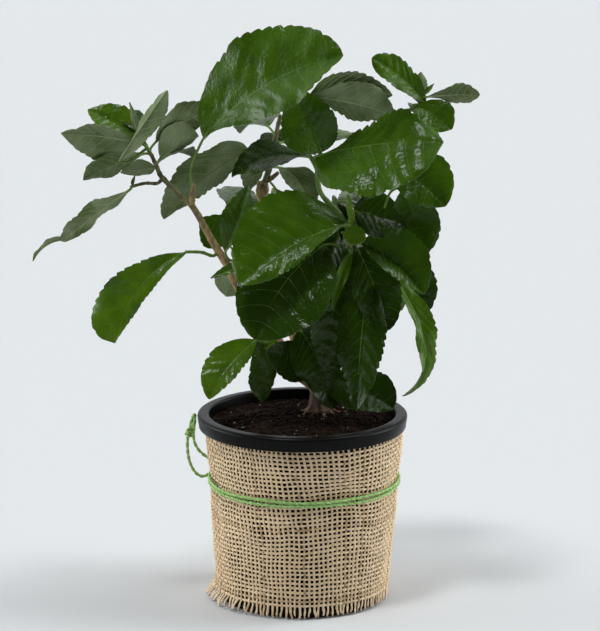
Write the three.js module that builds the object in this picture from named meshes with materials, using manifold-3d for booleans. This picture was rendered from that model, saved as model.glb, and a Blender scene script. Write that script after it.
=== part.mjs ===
// A young hibiscus shrub in a round nursery pot that is wrapped in burlap and tied with twine.
// Millimetres, +Z up. The origin is the centre of the pot's flat underside, and -Y is the plant's front.
// Every trunk, bough and mass of foliage is a solid of its own, and each keeps a small gap to the next.

import * as THREE from "three";
import { mergeVertices } from "three/addons/utils/BufferGeometryUtils.js";
import Module from "manifold-3d";

const wasm = await Module();
wasm.setup();

// ---------------------------------------------------------------- driving dimensions

const GAP = 0.3; // clearance between solids that touch on the real plant
const TIDY = 0.12; // slivers narrower than this that fusing leaves behind are taken out

const POT = {
  height: 145,
  rimRadius: 80,
  rimInnerRadius: 71,
  rimDepth: 11, // how far the band of the rim hangs down
  rimTaper: 1, // how much narrower the band is at its lower edge
  rimWall: 2.2,
  footRadius: 62,
  neckRadius: 72.3, // outside of the wall where it meets the rim
  wall: 1.8,
  floor: 2.4,
  cornerRadius: 2.5,
  sides: 40,
};

const DRAIN = { count: 6, radius: 4, ring: 42, sides: 8 };

const SOIL = {
  top: 140.5, // flat middle, where the trunk stands
  edgeTop: 137,
  flatRadius: 42,
  sides: 24,
};

const BURLAP = {
  bottom: 0.3,
  top: 131,
  thickness: 2,
  standOff: 1.7, // mean gap between the pot's wall and the cloth
  flare: 7.5, // how far the hem curls out on the left
  flareHeading: 187,
  flareSpread: 42, // degrees either side of the flare's middle
  flareHeight: 24,
  pinch: 0.7, // how far the twine draws the cloth in
  sides: 40,
  levels: [0, 0.06, 0.14, 0.3, 0.63, 0.7, 0.77, 1],
};

const TWINE = {
  radius: 1.3,
  height: 92, // of the middle of the doubled band
  spacing: 2.9, // between its two strands
  sides: 6,
  turns: 40, // straight pieces round the pot
  looseSides: 8,
  looseSteps: 28,
};

const TRUNK = {
  foot: [13, 16],
  forkHeight: 162,
  footRadius: 7.6,
  forkRadius: 6,
  flare: 3.6, // how much wider the roots make the foot
  flareHeight: 7,
  lobes: 5, // surface roots that show as ridges round the foot
  sides: 15,
};

const LEAF = {
  thickness: 0.013, // of its length
  leastThickness: 0.9,
  stations: [4, 5, 6], // pieces along a small, a middling and a large blade
  smallBlade: 34,
  largeBlade: 90, // a blade this long or longer has two strips a side, a shorter one has one
  stalkRadius: 1.0,
  sink: 0.08, // of the blade's length that the stalk runs into it
};

// ---------------------------------------------------------------- solids and surfaces

const radians = THREE.MathUtils.degToRad;
const point = ([x, y, z]) => new THREE.Vector3(x, y, z);

// The unit vector at a heading (degrees from +X towards +Y) and a rise above level.
function direction(heading, rise) {
  const level = Math.cos(radians(rise));
  return new THREE.Vector3(
    level * Math.cos(radians(heading)),
    level * Math.sin(radians(heading)),
    Math.sin(radians(rise)),
  );
}

// A repeatable stream of numbers from 0 to 1.
function seeded(seed) {
  let state = seed >>> 0;
  return () => {
    state = (Math.imul(state, 1664525) + 1013904223) >>> 0;
    return state / 4294967296;
  };
}

function solidOf(geometry) {
  const plain = geometry.clone();
  plain.deleteAttribute("normal");
  plain.deleteAttribute("uv");
  const merged = mergeVertices(plain, 1e-4);
  return new wasm.Manifold(
    new wasm.Mesh({
      numProp: 3,
      vertProperties: new Float32Array(merged.attributes.position.array),
      triVerts: new Uint32Array(merged.index.array),
    }),
  );
}

function geometryOf(solid) {
  const mesh = solid.getMesh();
  const geometry = new THREE.BufferGeometry();
  geometry.setAttribute("position", new THREE.BufferAttribute(new Float32Array(mesh.vertProperties), 3));
  geometry.setIndex(new THREE.BufferAttribute(new Uint32Array(mesh.triVerts), 1));
  geometry.computeVertexNormals();
  return geometry;
}

// The largest body of a solid: loose scraps and sealed hollows are dropped.
function mainBody(solid) {
  const bodies = solid.decompose().sort((a, b) => b.volume() - a.volume());
  return bodies[0];
}

// A closed surface through rings of the same number of points, with a flat lid on both ends.
function loft(rings) {
  const count = rings[0].length;
  const positions = [];
  const index = [];
  for (const ring of rings) for (const p of ring) positions.push(p.x, p.y, p.z);
  for (let i = 0; i + 1 < rings.length; i++) {
    for (let j = 0; j < count; j++) {
      const a = i * count + j;
      const b = i * count + ((j + 1) % count);
      index.push(a, b, a + count, b, b + count, a + count);
    }
  }
  const last = (rings.length - 1) * count;
  for (let j = 1; j + 1 < count; j++) {
    index.push(0, j + 1, j);
    index.push(last, last + j, last + j + 1);
  }
  const geometry = new THREE.BufferGeometry();
  geometry.setAttribute("position", new THREE.Float32BufferAttribute(positions, 3));
  geometry.setIndex(index);
  return geometry;
}

// Rings of a round limb along a smooth curve: radius is a function of the place along it and the angle.
function limbRings(curve, steps, sides, radius) {
  const frames = curve.computeFrenetFrames(steps, false);
  return Array.from({ length: steps + 1 }, (_, i) => {
    const centre = curve.getPointAt(i / steps);
    return Array.from({ length: sides }, (_, j) => {
      const turn = (2 * Math.PI * j) / sides;
      const r = radius(i / steps, turn);
      return centre
        .clone()
        .addScaledVector(frames.normals[i], -r * Math.cos(turn))
        .addScaledVector(frames.binormals[i], -r * Math.sin(turn));
    });
  });
}

// A tapering limb through places, from its first radius to its last; spare makes it fatter all round.
function limb({ places, radii, sides = 7, steps = 9 }, spare = 0) {
  const curve = new THREE.CatmullRomCurve3(places.map(point), false, "centripetal");
  const [start, end] = radii;
  return solidOf(loft(limbRings(curve, steps, sides, (t) => start + (end - start) * t + spare)));
}

function pipe(curve, radius, sides, steps) {
  return solidOf(loft(limbRings(curve, steps, sides, () => radius)));
}

// ---------------------------------------------------------------- pot and soil

function wallRadius(height) {
  const neck = POT.height - POT.rimDepth;
  return POT.footRadius + ((POT.neckRadius - POT.footRadius) * height) / neck;
}

// One revolved profile: floor, wall, and a rim whose band hangs down clear of the wall.
function pot() {
  const top = POT.height;
  const bandFoot = top - POT.rimDepth;
  const lid = top - POT.rimWall;
  const bandRadius = POT.rimRadius - POT.rimTaper;
  const round = POT.cornerRadius;
  const profile = [
    [0, 0],
    [POT.footRadius - round, 0],
    [POT.footRadius, round],
    [wallRadius(bandFoot), bandFoot],
    [wallRadius(lid), lid],
    [bandRadius - POT.rimWall, lid],
    [bandRadius - POT.rimWall, bandFoot],
    [bandRadius, bandFoot],
    [POT.rimRadius, top - round],
    [POT.rimRadius - round * 0.3, top - round * 0.3],
    [POT.rimRadius - round, top],
    [POT.rimInnerRadius, top],
    [wallRadius(bandFoot) - POT.wall, bandFoot],
    [POT.footRadius - POT.wall, POT.floor],
    [0, POT.floor],
  ].map(([r, z]) => new THREE.Vector2(r, z));
  const shell = new THREE.LatheGeometry(profile, POT.sides).rotateX(Math.PI / 2);
  let solid = solidOf(shell);
  for (let i = 0; i < DRAIN.count; i++) {
    const heading = (360 / DRAIN.count) * (i + 0.5);
    const hole = new THREE.CylinderGeometry(DRAIN.radius, DRAIN.radius, 4 * POT.floor, DRAIN.sides);
    const at = direction(heading, 0).multiplyScalar(DRAIN.ring);
    solid = solid.subtract(solidOf(hole.rotateX(Math.PI / 2).translate(at.x, at.y, 0)));
  }
  return solid;
}

function soil() {
  const inner = (z) => wallRadius(z) - POT.wall - GAP;
  const floor = POT.floor + GAP;
  const edge = Math.min(inner(SOIL.edgeTop), POT.rimInnerRadius - GAP);
  const profile = [
    [0, floor],
    [inner(floor) - 1, floor],
    [inner(SOIL.edgeTop - 12) - 0.4, SOIL.edgeTop - 12],
    [edge - 1.6, SOIL.edgeTop],
    [SOIL.flatRadius, SOIL.top],
    [0, SOIL.top],
  ].map(([r, z]) => new THREE.Vector2(r, z));
  return solidOf(new THREE.LatheGeometry(profile, SOIL.sides).rotateX(Math.PI / 2));
}

// ---------------------------------------------------------------- burlap and twine

// The outside of the cloth: it follows the pot, is drawn in by the twine and curls out at the left hem.
function clothRadius(height, heading) {
  const wave = 0.5 * Math.sin(radians(3 * heading + 40)) + 0.3 * Math.sin(radians(7 * heading));
  const lift = Math.max(0, 1 - (height - BURLAP.bottom) / BURLAP.flareHeight);
  const off = ((heading - BURLAP.flareHeading + 540) % 360) - 180;
  const curl = BURLAP.flare * lift * lift * Math.exp(-((off / BURLAP.flareSpread) ** 2));
  const waist = BURLAP.pinch * Math.exp(-(((height - TWINE.height) / 6) ** 2));
  return wallRadius(height) + BURLAP.standOff + BURLAP.thickness + wave + curl - waist;
}

function burlapWrap() {
  const place = (heading, height, inset) => {
    const r = clothRadius(height, heading) - inset;
    return new THREE.Vector3(r * Math.cos(radians(heading)), r * Math.sin(radians(heading)), height);
  };
  const heights = BURLAP.levels.map((t) => BURLAP.bottom + t * (BURLAP.top - BURLAP.bottom));
  const outline = [...heights.map((z) => [z, 0]), ...heights.map((z) => [z, BURLAP.thickness]).reverse()];
  const positions = [];
  const index = [];
  for (let i = 0; i < BURLAP.sides; i++) {
    for (const [z, inset] of outline) {
      const p = place((360 * i) / BURLAP.sides, z, inset);
      positions.push(p.x, p.y, p.z);
    }
  }
  const count = outline.length;
  for (let i = 0; i < BURLAP.sides; i++) {
    const next = ((i + 1) % BURLAP.sides) * count;
    for (let j = 0; j < count; j++) {
      const a = i * count + j;
      const b = i * count + ((j + 1) % count);
      const c = next + j;
      const d = next + ((j + 1) % count);
      index.push(a, c, b, b, c, d);
    }
  }
  const geometry = new THREE.BufferGeometry();
  geometry.setAttribute("position", new THREE.Float32BufferAttribute(positions, 3));
  geometry.setIndex(index);
  return solidOf(geometry);
}

// One strand of the doubled band: a closed ring that lies on the cloth.
function twineBand(height) {
  const rings = Array.from({ length: TWINE.turns }, (_, i) => {
    const heading = (360 * i) / TWINE.turns;
    const r = clothRadius(height, heading) + GAP + TWINE.radius;
    const centre = direction(heading, 0).multiplyScalar(r).setZ(height);
    return Array.from({ length: TWINE.sides }, (_, j) => {
      const turn = (2 * Math.PI * j) / TWINE.sides;
      return centre
        .clone()
        .addScaledVector(direction(heading, 0), TWINE.radius * Math.cos(turn))
        .add(new THREE.Vector3(0, 0, TWINE.radius * Math.sin(turn)));
    });
  });
  const positions = rings.flat().flatMap((p) => [p.x, p.y, p.z]);
  const index = [];
  for (let i = 0; i < TWINE.turns; i++) {
    const next = ((i + 1) % TWINE.turns) * TWINE.sides;
    for (let j = 0; j < TWINE.sides; j++) {
      const k = (j + 1) % TWINE.sides;
      const a = i * TWINE.sides + j;
      const b = i * TWINE.sides + k;
      index.push(a, next + j, b, b, next + j, next + k);
    }
  }
  const geometry = new THREE.BufferGeometry();
  geometry.setAttribute("position", new THREE.Float32BufferAttribute(positions, 3));
  geometry.setIndex(index);
  return solidOf(geometry);
}

// The loose end of the twine: out of the band on the left, up beside the rim, over, and back to the cloth.
const LOOP_PLACES = [
  [-72.6, 24, 89.1],
  [-74.6, 22.5, 88.3],
  [-77.6, 19.5, 88.8],
  [-81, 15.5, 91.8],
  [-84.1, 11, 97.2],
  [-86.4, 7, 104],
  [-87.5, 3.5, 111.3],
  [-87.8, 0.5, 118.4],
  [-87.4, -1.7, 125.3],
  [-86.3, -3.2, 129.6],
  [-85.5, -3.5, 134.8],
  [-84, -1.4, 139.6],
  [-82.6, 3.6, 141.7],
  [-82.1, 8.6, 139.6],
  [-82.4, 10.8, 134.6],
  [-83.3, 12.3, 126.3],
  [-83.2, 13.3, 119.7],
  [-81.2, 15, 113.4],
  [-77.4, 18, 107.7],
  [-73.2, 21.9, 103.3],
];

function twineLoop() {
  const curve = new THREE.CatmullRomCurve3(LOOP_PLACES.map(point), false, "centripetal");
  return pipe(curve, TWINE.radius, TWINE.looseSides, TWINE.looseSteps);
}

// ---------------------------------------------------------------- trunk and boughs

// The trunk leans a little to the left and back, and its foot spreads into surface roots.
function trunk(spare = 0) {
  const [x, y] = TRUNK.foot;
  const foot = SOIL.top + GAP;
  const rise = TRUNK.forkHeight - foot;
  const curve = new THREE.CatmullRomCurve3([
    new THREE.Vector3(x, y, foot - 2),
    new THREE.Vector3(x - 0.2, y + 0.1, foot + rise * 0.4),
    new THREE.Vector3(x - 0.6, y + 0.5, TRUNK.forkHeight + spare),
  ]);
  const radius = (t, turn) => {
    const height = Math.max(0, t * (rise + 2) - 2);
    const spread = TRUNK.flare * Math.exp(-height / TRUNK.flareHeight);
    const ridge = 1 + 0.35 * Math.cos(TRUNK.lobes * turn);
    return TRUNK.footRadius + (TRUNK.forkRadius - TRUNK.footRadius) * t + spread * ridge + spare;
  };
  return solidOf(loft(limbRings(curve, 7, TRUNK.sides, radius))).trimByPlane([0, 0, 1], foot - spare);
}

const BOUGHS = {
  bough_left: {
    places: [
      [14, 17.5, 151], [8, 17.3, 162], [-1, 16.6, 170], [-23, 10, 204], [-47.5, 2, 240.5], [-56, 0, 258.5], [-68, -2, 278.5],
      [-83.3, 0, 305.5], [-93.2, 1, 314], [-106, 3, 327],
    ],
    radii: [5, 1.9],
    steps: 16,
  },
  bough_centre: {
    places: [[13.5, 18, 151], [11.5, 21.5, 163], [6.5, 25.5, 173], [-2, 30, 186], [-14, 35, 224], [-24.5, 32, 264], [-29, 28, 292], [-30.7, 26, 311]],
    radii: [4.4, 3.6],
    steps: 10,
  },
  bough_right: {
    places: [[13, 17, 151], [16, 13.5, 165], [18, 10, 178], [18.6, 8, 191.7], [23.6, 2, 224.7], [31, -2, 257], [36, -3, 281]],
    radii: [4.8, 2.8],
    steps: 9,
  },
  bough_right_top: {
    places: [[38.5, 1.5, 278], [42.4, 6, 288.6], [48.5, 16, 315], [59.2, 20, 345], [71.5, 14, 368.5], [78.4, 9, 375.3]],
    radii: [2.6, 1.8],
    steps: 9,
  },
  bough_back: {
    places: [[13.5, 18, 151], [17, 23.5, 164], [24, 33, 182], [33, 44, 215], [38, 52, 246]],
    radii: [4, 2.4],
    steps: 6,
  },
};

// The order in which limbs are cut clear of each other: each is cut by the ones before it.
function limbs() {
  const made = [{ name: "trunk", solid: trunk(), keepOut: trunk(GAP) }];
  for (const [name, shape] of Object.entries(BOUGHS)) {
    let solid = limb(shape);
    for (const other of made) solid = solid.subtract(other.keepOut);
    made.push({ name, solid: mainBody(solid), keepOut: limb(shape, GAP) });
  }
  return made;
}

// ---------------------------------------------------------------- leaves

// A blade's frame at each station. The midrib starts at base, along heading and rise. By the tip its rise
// has fallen by droop and its heading has changed by turn; late above 1 leaves the droop to the outer part.
function bladeFrames(leaf) {
  const { length, heading, rise, droop = 0, late = 1, turn = 0, roll = 0, twist = 0 } = leaf;
  const fine = 24;
  const centres = [point(leaf.base)];
  for (let i = 0; i < fine; i++) {
    const u = (i + 0.5) / fine;
    const step = direction(heading + turn * u, rise - droop * u ** late).multiplyScalar(length / fine);
    centres.push(centres[i].clone().add(step));
  }
  const path = new THREE.CatmullRomCurve3(centres);
  const pieces = LEAF.stations[length < LEAF.smallBlade ? 0 : length < LEAF.largeBlade ? 1 : 2];
  return Array.from({ length: pieces + 1 }, (_, i) => {
    const u = (1 - Math.cos((Math.PI * i) / pieces)) / 2;
    const along = direction(heading + turn * u, rise - droop * u ** late);
    const left = direction(heading + turn * u + 90, 0);
    const up = along.clone().cross(left);
    const angle = radians(roll + twist * u);
    return {
      u,
      centre: path.getPoint(u),
      left: left.clone().multiplyScalar(Math.cos(angle)).addScaledVector(up, Math.sin(angle)),
      up: up.clone().multiplyScalar(Math.cos(angle)).addScaledVector(left, -Math.sin(angle)),
    };
  });
}

// How wide one half of a blade is at a place along it: a rounded hump whose peak can be moved.
function halfWidth(u, width, peak, full) {
  const skew = Math.log(0.5) / Math.log(peak);
  return Math.max(0.6, width * Math.sin(Math.PI * u ** skew) ** full);
}

// A blade is a thin closed sheet: each half has its own width and is folded up from the midrib.
function blade(leaf) {
  const { halves, peaks = [0.42, 0.42], full = 0.8, fold = [15, 15] } = leaf;
  const fulls = Array.isArray(full) ? full : [full, full];
  const strips = leaf.length < LEAF.largeBlade ? 1 : 2;
  const thick = Math.max(LEAF.leastThickness, leaf.length * LEAF.thickness);
  const frames = bladeFrames(leaf);
  const rings = frames.map(({ u, centre, left, up }) => {
    const across = [];
    for (let j = -strips; j <= strips; j++) {
      const side = j >= 0 ? 0 : 1;
      const sign = j >= 0 ? 1 : -1;
      const lift = radians(fold[side]);
      const reach = (Math.abs(j) / strips) * halfWidth(u, halves[side], peaks[side], fulls[side]);
      const at = centre
        .clone()
        .addScaledVector(left, sign * reach * Math.cos(lift))
        .addScaledVector(up, reach * Math.sin(lift));
      const face = j === 0 ? up.clone() : up.clone().multiplyScalar(Math.cos(lift)).addScaledVector(left, -sign * Math.sin(lift));
      across.push({ at, face });
    }
    const upper = across.map(({ at, face }) => at.clone().addScaledVector(face, thick / 2)).reverse();
    const lower = across.map(({ at, face }) => at.clone().addScaledVector(face, -thick / 2));
    return [...upper, ...lower];
  });
  return solidOf(loft(rings));
}

// The stalk bends from its stem into the blade and ends a little way inside it.
function stalk(leaf, root) {
  const base = point(leaf.base);
  const along = direction(leaf.heading, leaf.rise);
  const reach = base.distanceTo(root);
  const elbow = base.clone().addScaledVector(along, -0.4 * reach);
  const end = base.clone().addScaledVector(along, leaf.length * LEAF.sink);
  const curve = new THREE.CatmullRomCurve3([root, root.clone().lerp(elbow, 0.6), base, end], false, "centripetal");
  const steps = reach > 20 ? 4 : 2;
  return pipe(curve, Math.min(LEAF.stalkRadius, 0.6 + leaf.length * 0.01), 4, steps);
}

// ---------------------------------------------------------------- masses of foliage

// Each mass has a stem, leaves that are placed one by one, and more that a seeded rule adds.
// at is a leaf's place along the stem, and halves are the widths of its left and right half.
const MASSES = {
  foliage_left_top: {
    places: [[-106.8, 3, 328.2], [-109, 3.5, 333], [-113, 2, 343], [-117, 0, 350.5]],
    radii: [1.9, 1.3],
    leaves: [
      { at: 0.9, base: [-121, 6, 355], length: 47, heading: 164, rise: 31, droop: 10, roll: -35, halves: [15, 15], fold: [10, 25], peaks: [0.5, 0.5] },
      { at: 0.8, base: [-122, -3, 354], length: 60, heading: 191, rise: 16, droop: 14, roll: 60, halves: [9, 28], fold: [12, 12], peaks: [0.6, 0.38] },
      { at: 0.95, base: [-120, -6, 355], length: 47, heading: 334, rise: 54, droop: -15, roll: -125, halves: [14, 14], fold: [45, 45], peaks: [0.7, 0.7] },
      { at: 0.8, base: [-110, 8, 353], length: 61, heading: 26, rise: 36, droop: 25, roll: -55, halves: [20, 18], fold: [10, 10] },
      { at: 0.6, base: [-118, 7, 344], length: 52, heading: 176, rise: -15, droop: 18, roll: 55, halves: [13, 11], fold: [10, 10], peaks: [0.6, 0.6] },
      { at: 0.15, base: [-111, 8, 333], length: 28, heading: 163, rise: -5, droop: 12, roll: 60, halves: [8, 8], fold: [10, 10] },
      { at: 0.2, base: [-107, 9, 340], length: 37, heading: 34, rise: 34, droop: 25, roll: -60, halves: [10, 22], fold: [10, 20] },
      { at: 1, base: [-123, 5, 358], length: 26, heading: 160, rise: 74, droop: 0, roll: 90, halves: [3, 3], fold: [25, 25] },
    ],
    extra: { count: 2, seed: 11, from: 0.35, heading: [50, 130], rise: [10, 40], length: [34, 44] },
  },
  foliage_left_far: {
    places: [[-108.6, 1, 322.6], [-118, 0, 322.6], [-128.5, -1, 320.3]],
    radii: [1.4, 1.1],
    leaves: [
      { at: 1, base: [-130, -3, 318], length: 64, heading: 192, rise: -32, droop: 6, roll: 70, halves: [12, 12], fold: [25, 25], peaks: [0.6, 0.6], full: 0.55 },
      { at: 1, base: [-178, -14, 282.5], length: 31, heading: 189, rise: 2, droop: 70, roll: 30, halves: [5, 5], fold: [30, 30], stalkless: true },
      { at: 1, base: [-128, -1, 321], length: 8, heading: 60, rise: 62, droop: 0, roll: 0, halves: [1.6, 1.6], fold: [10, 10] },
    ],
  },
  foliage_left_droop: {
    places: [[-66.9, -3.5, 267.6], [-76, -7, 271], [-88, -10, 272]],
    radii: [1.3, 1.1],
    leaves: [
      { at: 1, base: [-87, -10, 272], length: 92, heading: 203, rise: -15, droop: 62, roll: -55, halves: [14, 23], fold: [10, 5], peaks: [0.62, 0.6], full: [0.7, 0.5] },
    ],
  },
  foliage_left_mid: {
    places: [[-48.6, -2.5, 252.5], [-48, -4, 258], [-47, -5, 264]],
    radii: [1.6, 1.3],
    leaves: [
      { at: 0.6, base: [-48.5, 9, 259], length: 28, heading: 168, rise: -65, droop: 10, roll: 90, halves: [13, 13], fold: [5, 5], peaks: [0.6, 0.6] },
      { at: 1, base: [-43, -9, 263], length: 29, heading: 199, rise: -14, droop: 10, roll: -60, halves: [4, 4], fold: [20, 20] },
      { at: 1, base: [-51, -9, 269], length: 56, heading: 342, rise: 68, droop: -10, roll: 95, halves: [14, 9], fold: [20, 30], peaks: [0.5, 0.6] },
      { at: 0.9, base: [-56, 9, 274], length: 29, heading: 162, rise: 45, droop: 15, roll: -60, halves: [15, 15], fold: [10, 20] },
      { at: 0.9, base: [-45, 6, 267], length: 19, heading: 33, rise: 79, droop: 0, roll: 90, halves: [7, 7], fold: [10, 10] },
    ],
  },
  foliage_top: {
    places: [[-82.6, -1, 310], [-82.4, -1, 312], [-82.3, -1, 314]],
    radii: [2.2, 1.9],
    leaves: [
      { at: 1, base: [-74, -6, 358], length: 132, heading: 341, rise: 51, droop: 38, roll: 60, halves: [44, 34], fold: [6, 20], peaks: [0.5, 0.62], full: [0.62, 0.75] },
    ],
  },
  foliage_centre: {
    places: [[-30.6, 26, 312.8], [-29, 26, 317], [-26, 26, 326], [-23, 27, 340], [-20, 29, 354], [-17, 33, 368]],
    radii: [2.5, 1.5],
    leaves: [
      { at: 0.5, base: [-40, 24, 343], length: 85, heading: 180, rise: -24, droop: 30, roll: -120, halves: [12, 27], fold: [10, 10], peaks: [0.5, 0.38], full: [0.8, 0.6] },
    ],
    extra: { count: 6, seed: 23, from: 0.3, heading: [50, 140], rise: [-20, 25], length: [50, 66] },
  },
  foliage_right: {
    places: [[36, -3.8, 284.8], [28, -7, 300], [14, -10, 317], [11, -11, 332], [11.5, -12, 345]],
    radii: [2.4, 1.5],
    leaves: [
      { at: 0.95, base: [7, 2, 342], length: 64, heading: 186, rise: 13, droop: 52, roll: -20, halves: [20, 20], fold: [15, 15], peaks: [0.6, 0.6] },
      { at: 0.97, base: [14, -10, 348], length: 53, heading: 175, rise: 76, droop: 25, roll: -70, halves: [26, 19], fold: [15, 15], peaks: [0.4, 0.4], full: 0.65 },
      { at: 0.9, base: [5, 2, 389], length: 64, heading: 7, rise: 17, droop: 36, roll: -75, halves: [18, 14], fold: [10, 10], peaks: [0.5, 0.5] },
      { at: 0.85, base: [6, -2, 389], length: 67, heading: 4, rise: -5, droop: 18, roll: -75, halves: [14, 18], fold: [10, 10], peaks: [0.55, 0.55] },
      { at: 1, base: [10, -20, 347], length: 103, heading: 338, rise: 19, droop: 18, roll: 50, halves: [25, 46], fold: [5, 8], peaks: [0.66, 0.45], full: [0.9, 0.5] },
    ],
  },
  foliage_right_top: {
    places: [[79.6, 8.4, 376.4], [84, 6, 379], [88, 4, 382.5], [89.5, 3, 388]],
    radii: [1.7, 1.2],
    leaves: [
      { at: 0.7, base: [94, 0, 379], length: 59, heading: 188, rise: 58, droop: 30, roll: -60, halves: [12, 13], fold: [15, 15], peaks: [0.65, 0.65], full: 0.6 },
      { at: 1, base: [88, 2, 390], length: 17, heading: 0, rise: 88, droop: 0, roll: -80, halves: [6, 6], fold: [20, 20] },
      { at: 1, base: [90, 4, 389], length: 12, heading: 14, rise: 43, droop: 0, roll: 40, halves: [2.5, 2.5], fold: [20, 20] },
      { at: 0.9, base: [91, 0, 388], length: 42, heading: 352, rise: 11, droop: 14, roll: -65, halves: [9, 9], fold: [10, 10], peaks: [0.7, 0.7], full: 0.6 },
      { at: 0.6, base: [83, -2, 382], length: 35, heading: 337, rise: -14, droop: 25, roll: 50, halves: [15, 15], fold: [10, 10], peaks: [0.6, 0.6] },
    ],
    extra: { count: 2, seed: 31, from: 0.2, heading: [70, 150], rise: [-5, 25], length: [32, 42] },
  },
  foliage_right_side: {
    places: [[47.2, 6.5, 296], [54, -2, 299], [62, -5, 301]],
    radii: [1.7, 1.3],
    leaves: [
      { at: 0.6, base: [58, -8, 342], length: 63, heading: 336, rise: -10, droop: 40, roll: 60, halves: [24, 20], fold: [10, 25], peaks: [0.6, 0.6], full: 0.7 },
      { at: 0.9, base: [76, 0, 319], length: 55, heading: 326, rise: -61, droop: 20, roll: 70, halves: [20, 20], fold: [8, 8], peaks: [0.5, 0.5] },
      { at: 0.5, base: [45, -14, 280], length: 66, heading: 323, rise: -12, droop: 35, roll: 60, halves: [26, 14], fold: [5, 65], peaks: [0.5, 0.5], full: 0.65 },
      { at: 0.2, base: [38, -9, 303], length: 42, heading: 4, rise: -6, droop: 20, roll: 50, halves: [19, 22], fold: [10, 10] },
      { at: 1, base: [80, 14, 259], length: 45, heading: 342, rise: -63, droop: 20, roll: 60, halves: [16, 16], fold: [8, 8] },
      { at: 1, base: [71, -4, 249], length: 102, heading: 350, rise: -58, droop: 95, late: 2.2, roll: 30, halves: [11, 11], fold: [25, 25], full: 0.5 },
    ],
  },
  foliage_front: {
    places: [[33.5, -8.6, 268], [34.5, -12, 280], [35.7, -16, 290]],
    radii: [1.7, 1.4],
    leaves: [
      { at: 1, base: [33, -20, 295], length: 97, heading: 206, rise: -6, droop: 35, roll: -52, halves: [17, 43], fold: [22, 4], peaks: [0.6, 0.47], full: [0.8, 0.6] },
      { at: 0.9, base: [30, -26, 290], length: 19, heading: 334, rise: -1, droop: 20, roll: 50, halves: [8, 8], fold: [10, 10], peaks: [0.55, 0.55], full: 0.6 },
      { at: 0.1, base: [17, -12, 278], length: 93, heading: 215, rise: -23, droop: 45, roll: -35, halves: [42, 34], fold: [10, 10], peaks: [0.5, 0.5], full: [0.55, 0.6] },
      { at: 0.3, base: [37, -14, 274], length: 47, heading: 208, rise: -64, droop: 10, roll: -60, halves: [5, 5], fold: [30, 30] },
      { at: 1, base: [36, -16, 293], length: 26, heading: 239, rise: 80, droop: 0, roll: 80, halves: [5, 5], fold: [30, 30] },
    ],
  },
  foliage_right_low: {
    places: [[33.6, -5, 250], [38, -8, 259], [41, -8, 268]],
    radii: [1.7, 1.3],
    leaves: [
      { at: 0.6, base: [49, -12, 249], length: 97, heading: 251, rise: -67, droop: 15, roll: 0, halves: [20, 19], fold: [12, 12], peaks: [0.42, 0.38], full: 0.7 },
      { at: 1, base: [41, -6, 274], length: 67, heading: 320, rise: -52, droop: 25, roll: 40, halves: [20, 18], fold: [8, 8], peaks: [0.5, 0.5], full: 0.6 },
    ],
  },
  foliage_low_left: {
    places: [[-20.2, 6, 194], [-27, 4, 198], [-34, 2, 201]],
    radii: [1.6, 1.3],
    leaves: [
      { at: 1, base: [-35, -4, 202], length: 61, heading: 220, rise: -22, droop: 35, roll: -40, halves: [11, 18], fold: [20, 5], peaks: [0.5, 0.55], full: 0.7 },
      { at: 1, base: [-38, 2, 200], length: 49, heading: 0, rise: -71, droop: 20, roll: 60, halves: [14, 12], fold: [15, 15], peaks: [0.45, 0.6] },
      { at: 0.8, base: [-31, 6, 196], length: 12, heading: 348, rise: 22, droop: 10, roll: 60, halves: [6, 6], fold: [20, 20] },
    ],
  },
  foliage_low_mid: {
    places: [[11, 6.4, 157], [10, 4, 166], [8, 2, 180]],
    radii: [1.7, 1.3],
    leaves: [
      { at: 0.8, base: [8, 2, 176], length: 40, heading: 190, rise: 38, droop: 25, roll: -70, halves: [17, 15], fold: [10, 10], full: 0.6 },
      { at: 1, base: [-2, -2, 211], length: 51, heading: 339, rise: -54, droop: 20, roll: 60, halves: [20, 20], fold: [10, 10], peaks: [0.5, 0.5], full: 0.6 },
      { at: 0.3, base: [17, 2, 171], length: 59, heading: 341, rise: -2, droop: 35, roll: 38, halves: [20, 22], fold: [8, 8], peaks: [0.6, 0.5], full: 0.6 },
    ],
  },
  foliage_back_left: {
    places: [[-20.6, 38.4, 254], [-24, 46, 259], [-30, 57, 265], [-36, 66, 268]],
    radii: [1.8, 1.2],
    leaves: [],
    extra: { count: 6, seed: 41, from: 0.2, heading: [45, 150], rise: [-25, 30], length: [46, 64] },
  },
  foliage_back_right: {
    places: [[38.3, 52.6, 247.6], [41, 57, 256], [42, 60, 268], [42, 62, 280]],
    radii: [2.1, 1.3],
    leaves: [],
    extra: { count: 7, seed: 53, from: 0.1, heading: [30, 140], rise: [-30, 30], length: [48, 64] },
  },
  foliage_back_low: {
    places: [[10, 26.4, 158], [8, 34, 166], [8, 44, 176]],
    radii: [1.8, 1.3],
    leaves: [],
    extra: { count: 3, seed: 67, from: 0.3, heading: [30, 140], rise: [12, 35], length: [38, 50] },
  },
};

const GOLDEN_TURN = 137.5;

// Leaves by rule: each next one is a golden turn round, folded into the mass's range of headings, and
// the leaves nearer the tip stand steeper.
function ruledLeaves({ extra }) {
  if (!extra) return [];
  const draw = seeded(extra.seed);
  const between = ([low, high], t) => low + (high - low) * t;
  const span = extra.heading[1] - extra.heading[0];
  return Array.from({ length: extra.count }, (_, i) => {
    const up = extra.count > 1 ? i / (extra.count - 1) : 0;
    const heading = extra.heading[0] + ((GOLDEN_TURN * i + 20 * draw()) % span);
    const length = between(extra.length, draw());
    const rise = between(extra.rise, up) + 8 * (draw() - 0.5);
    const width = length * (0.27 + 0.04 * draw());
    return {
      at: between([extra.from, 1], up),
      reach: 12 + 8 * draw(),
      length,
      heading,
      rise,
      droop: 30 + 25 * draw(),
      roll: 30 * (draw() - 0.5),
      halves: [width, width],
      fold: [12, 12],
    };
  });
}

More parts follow.
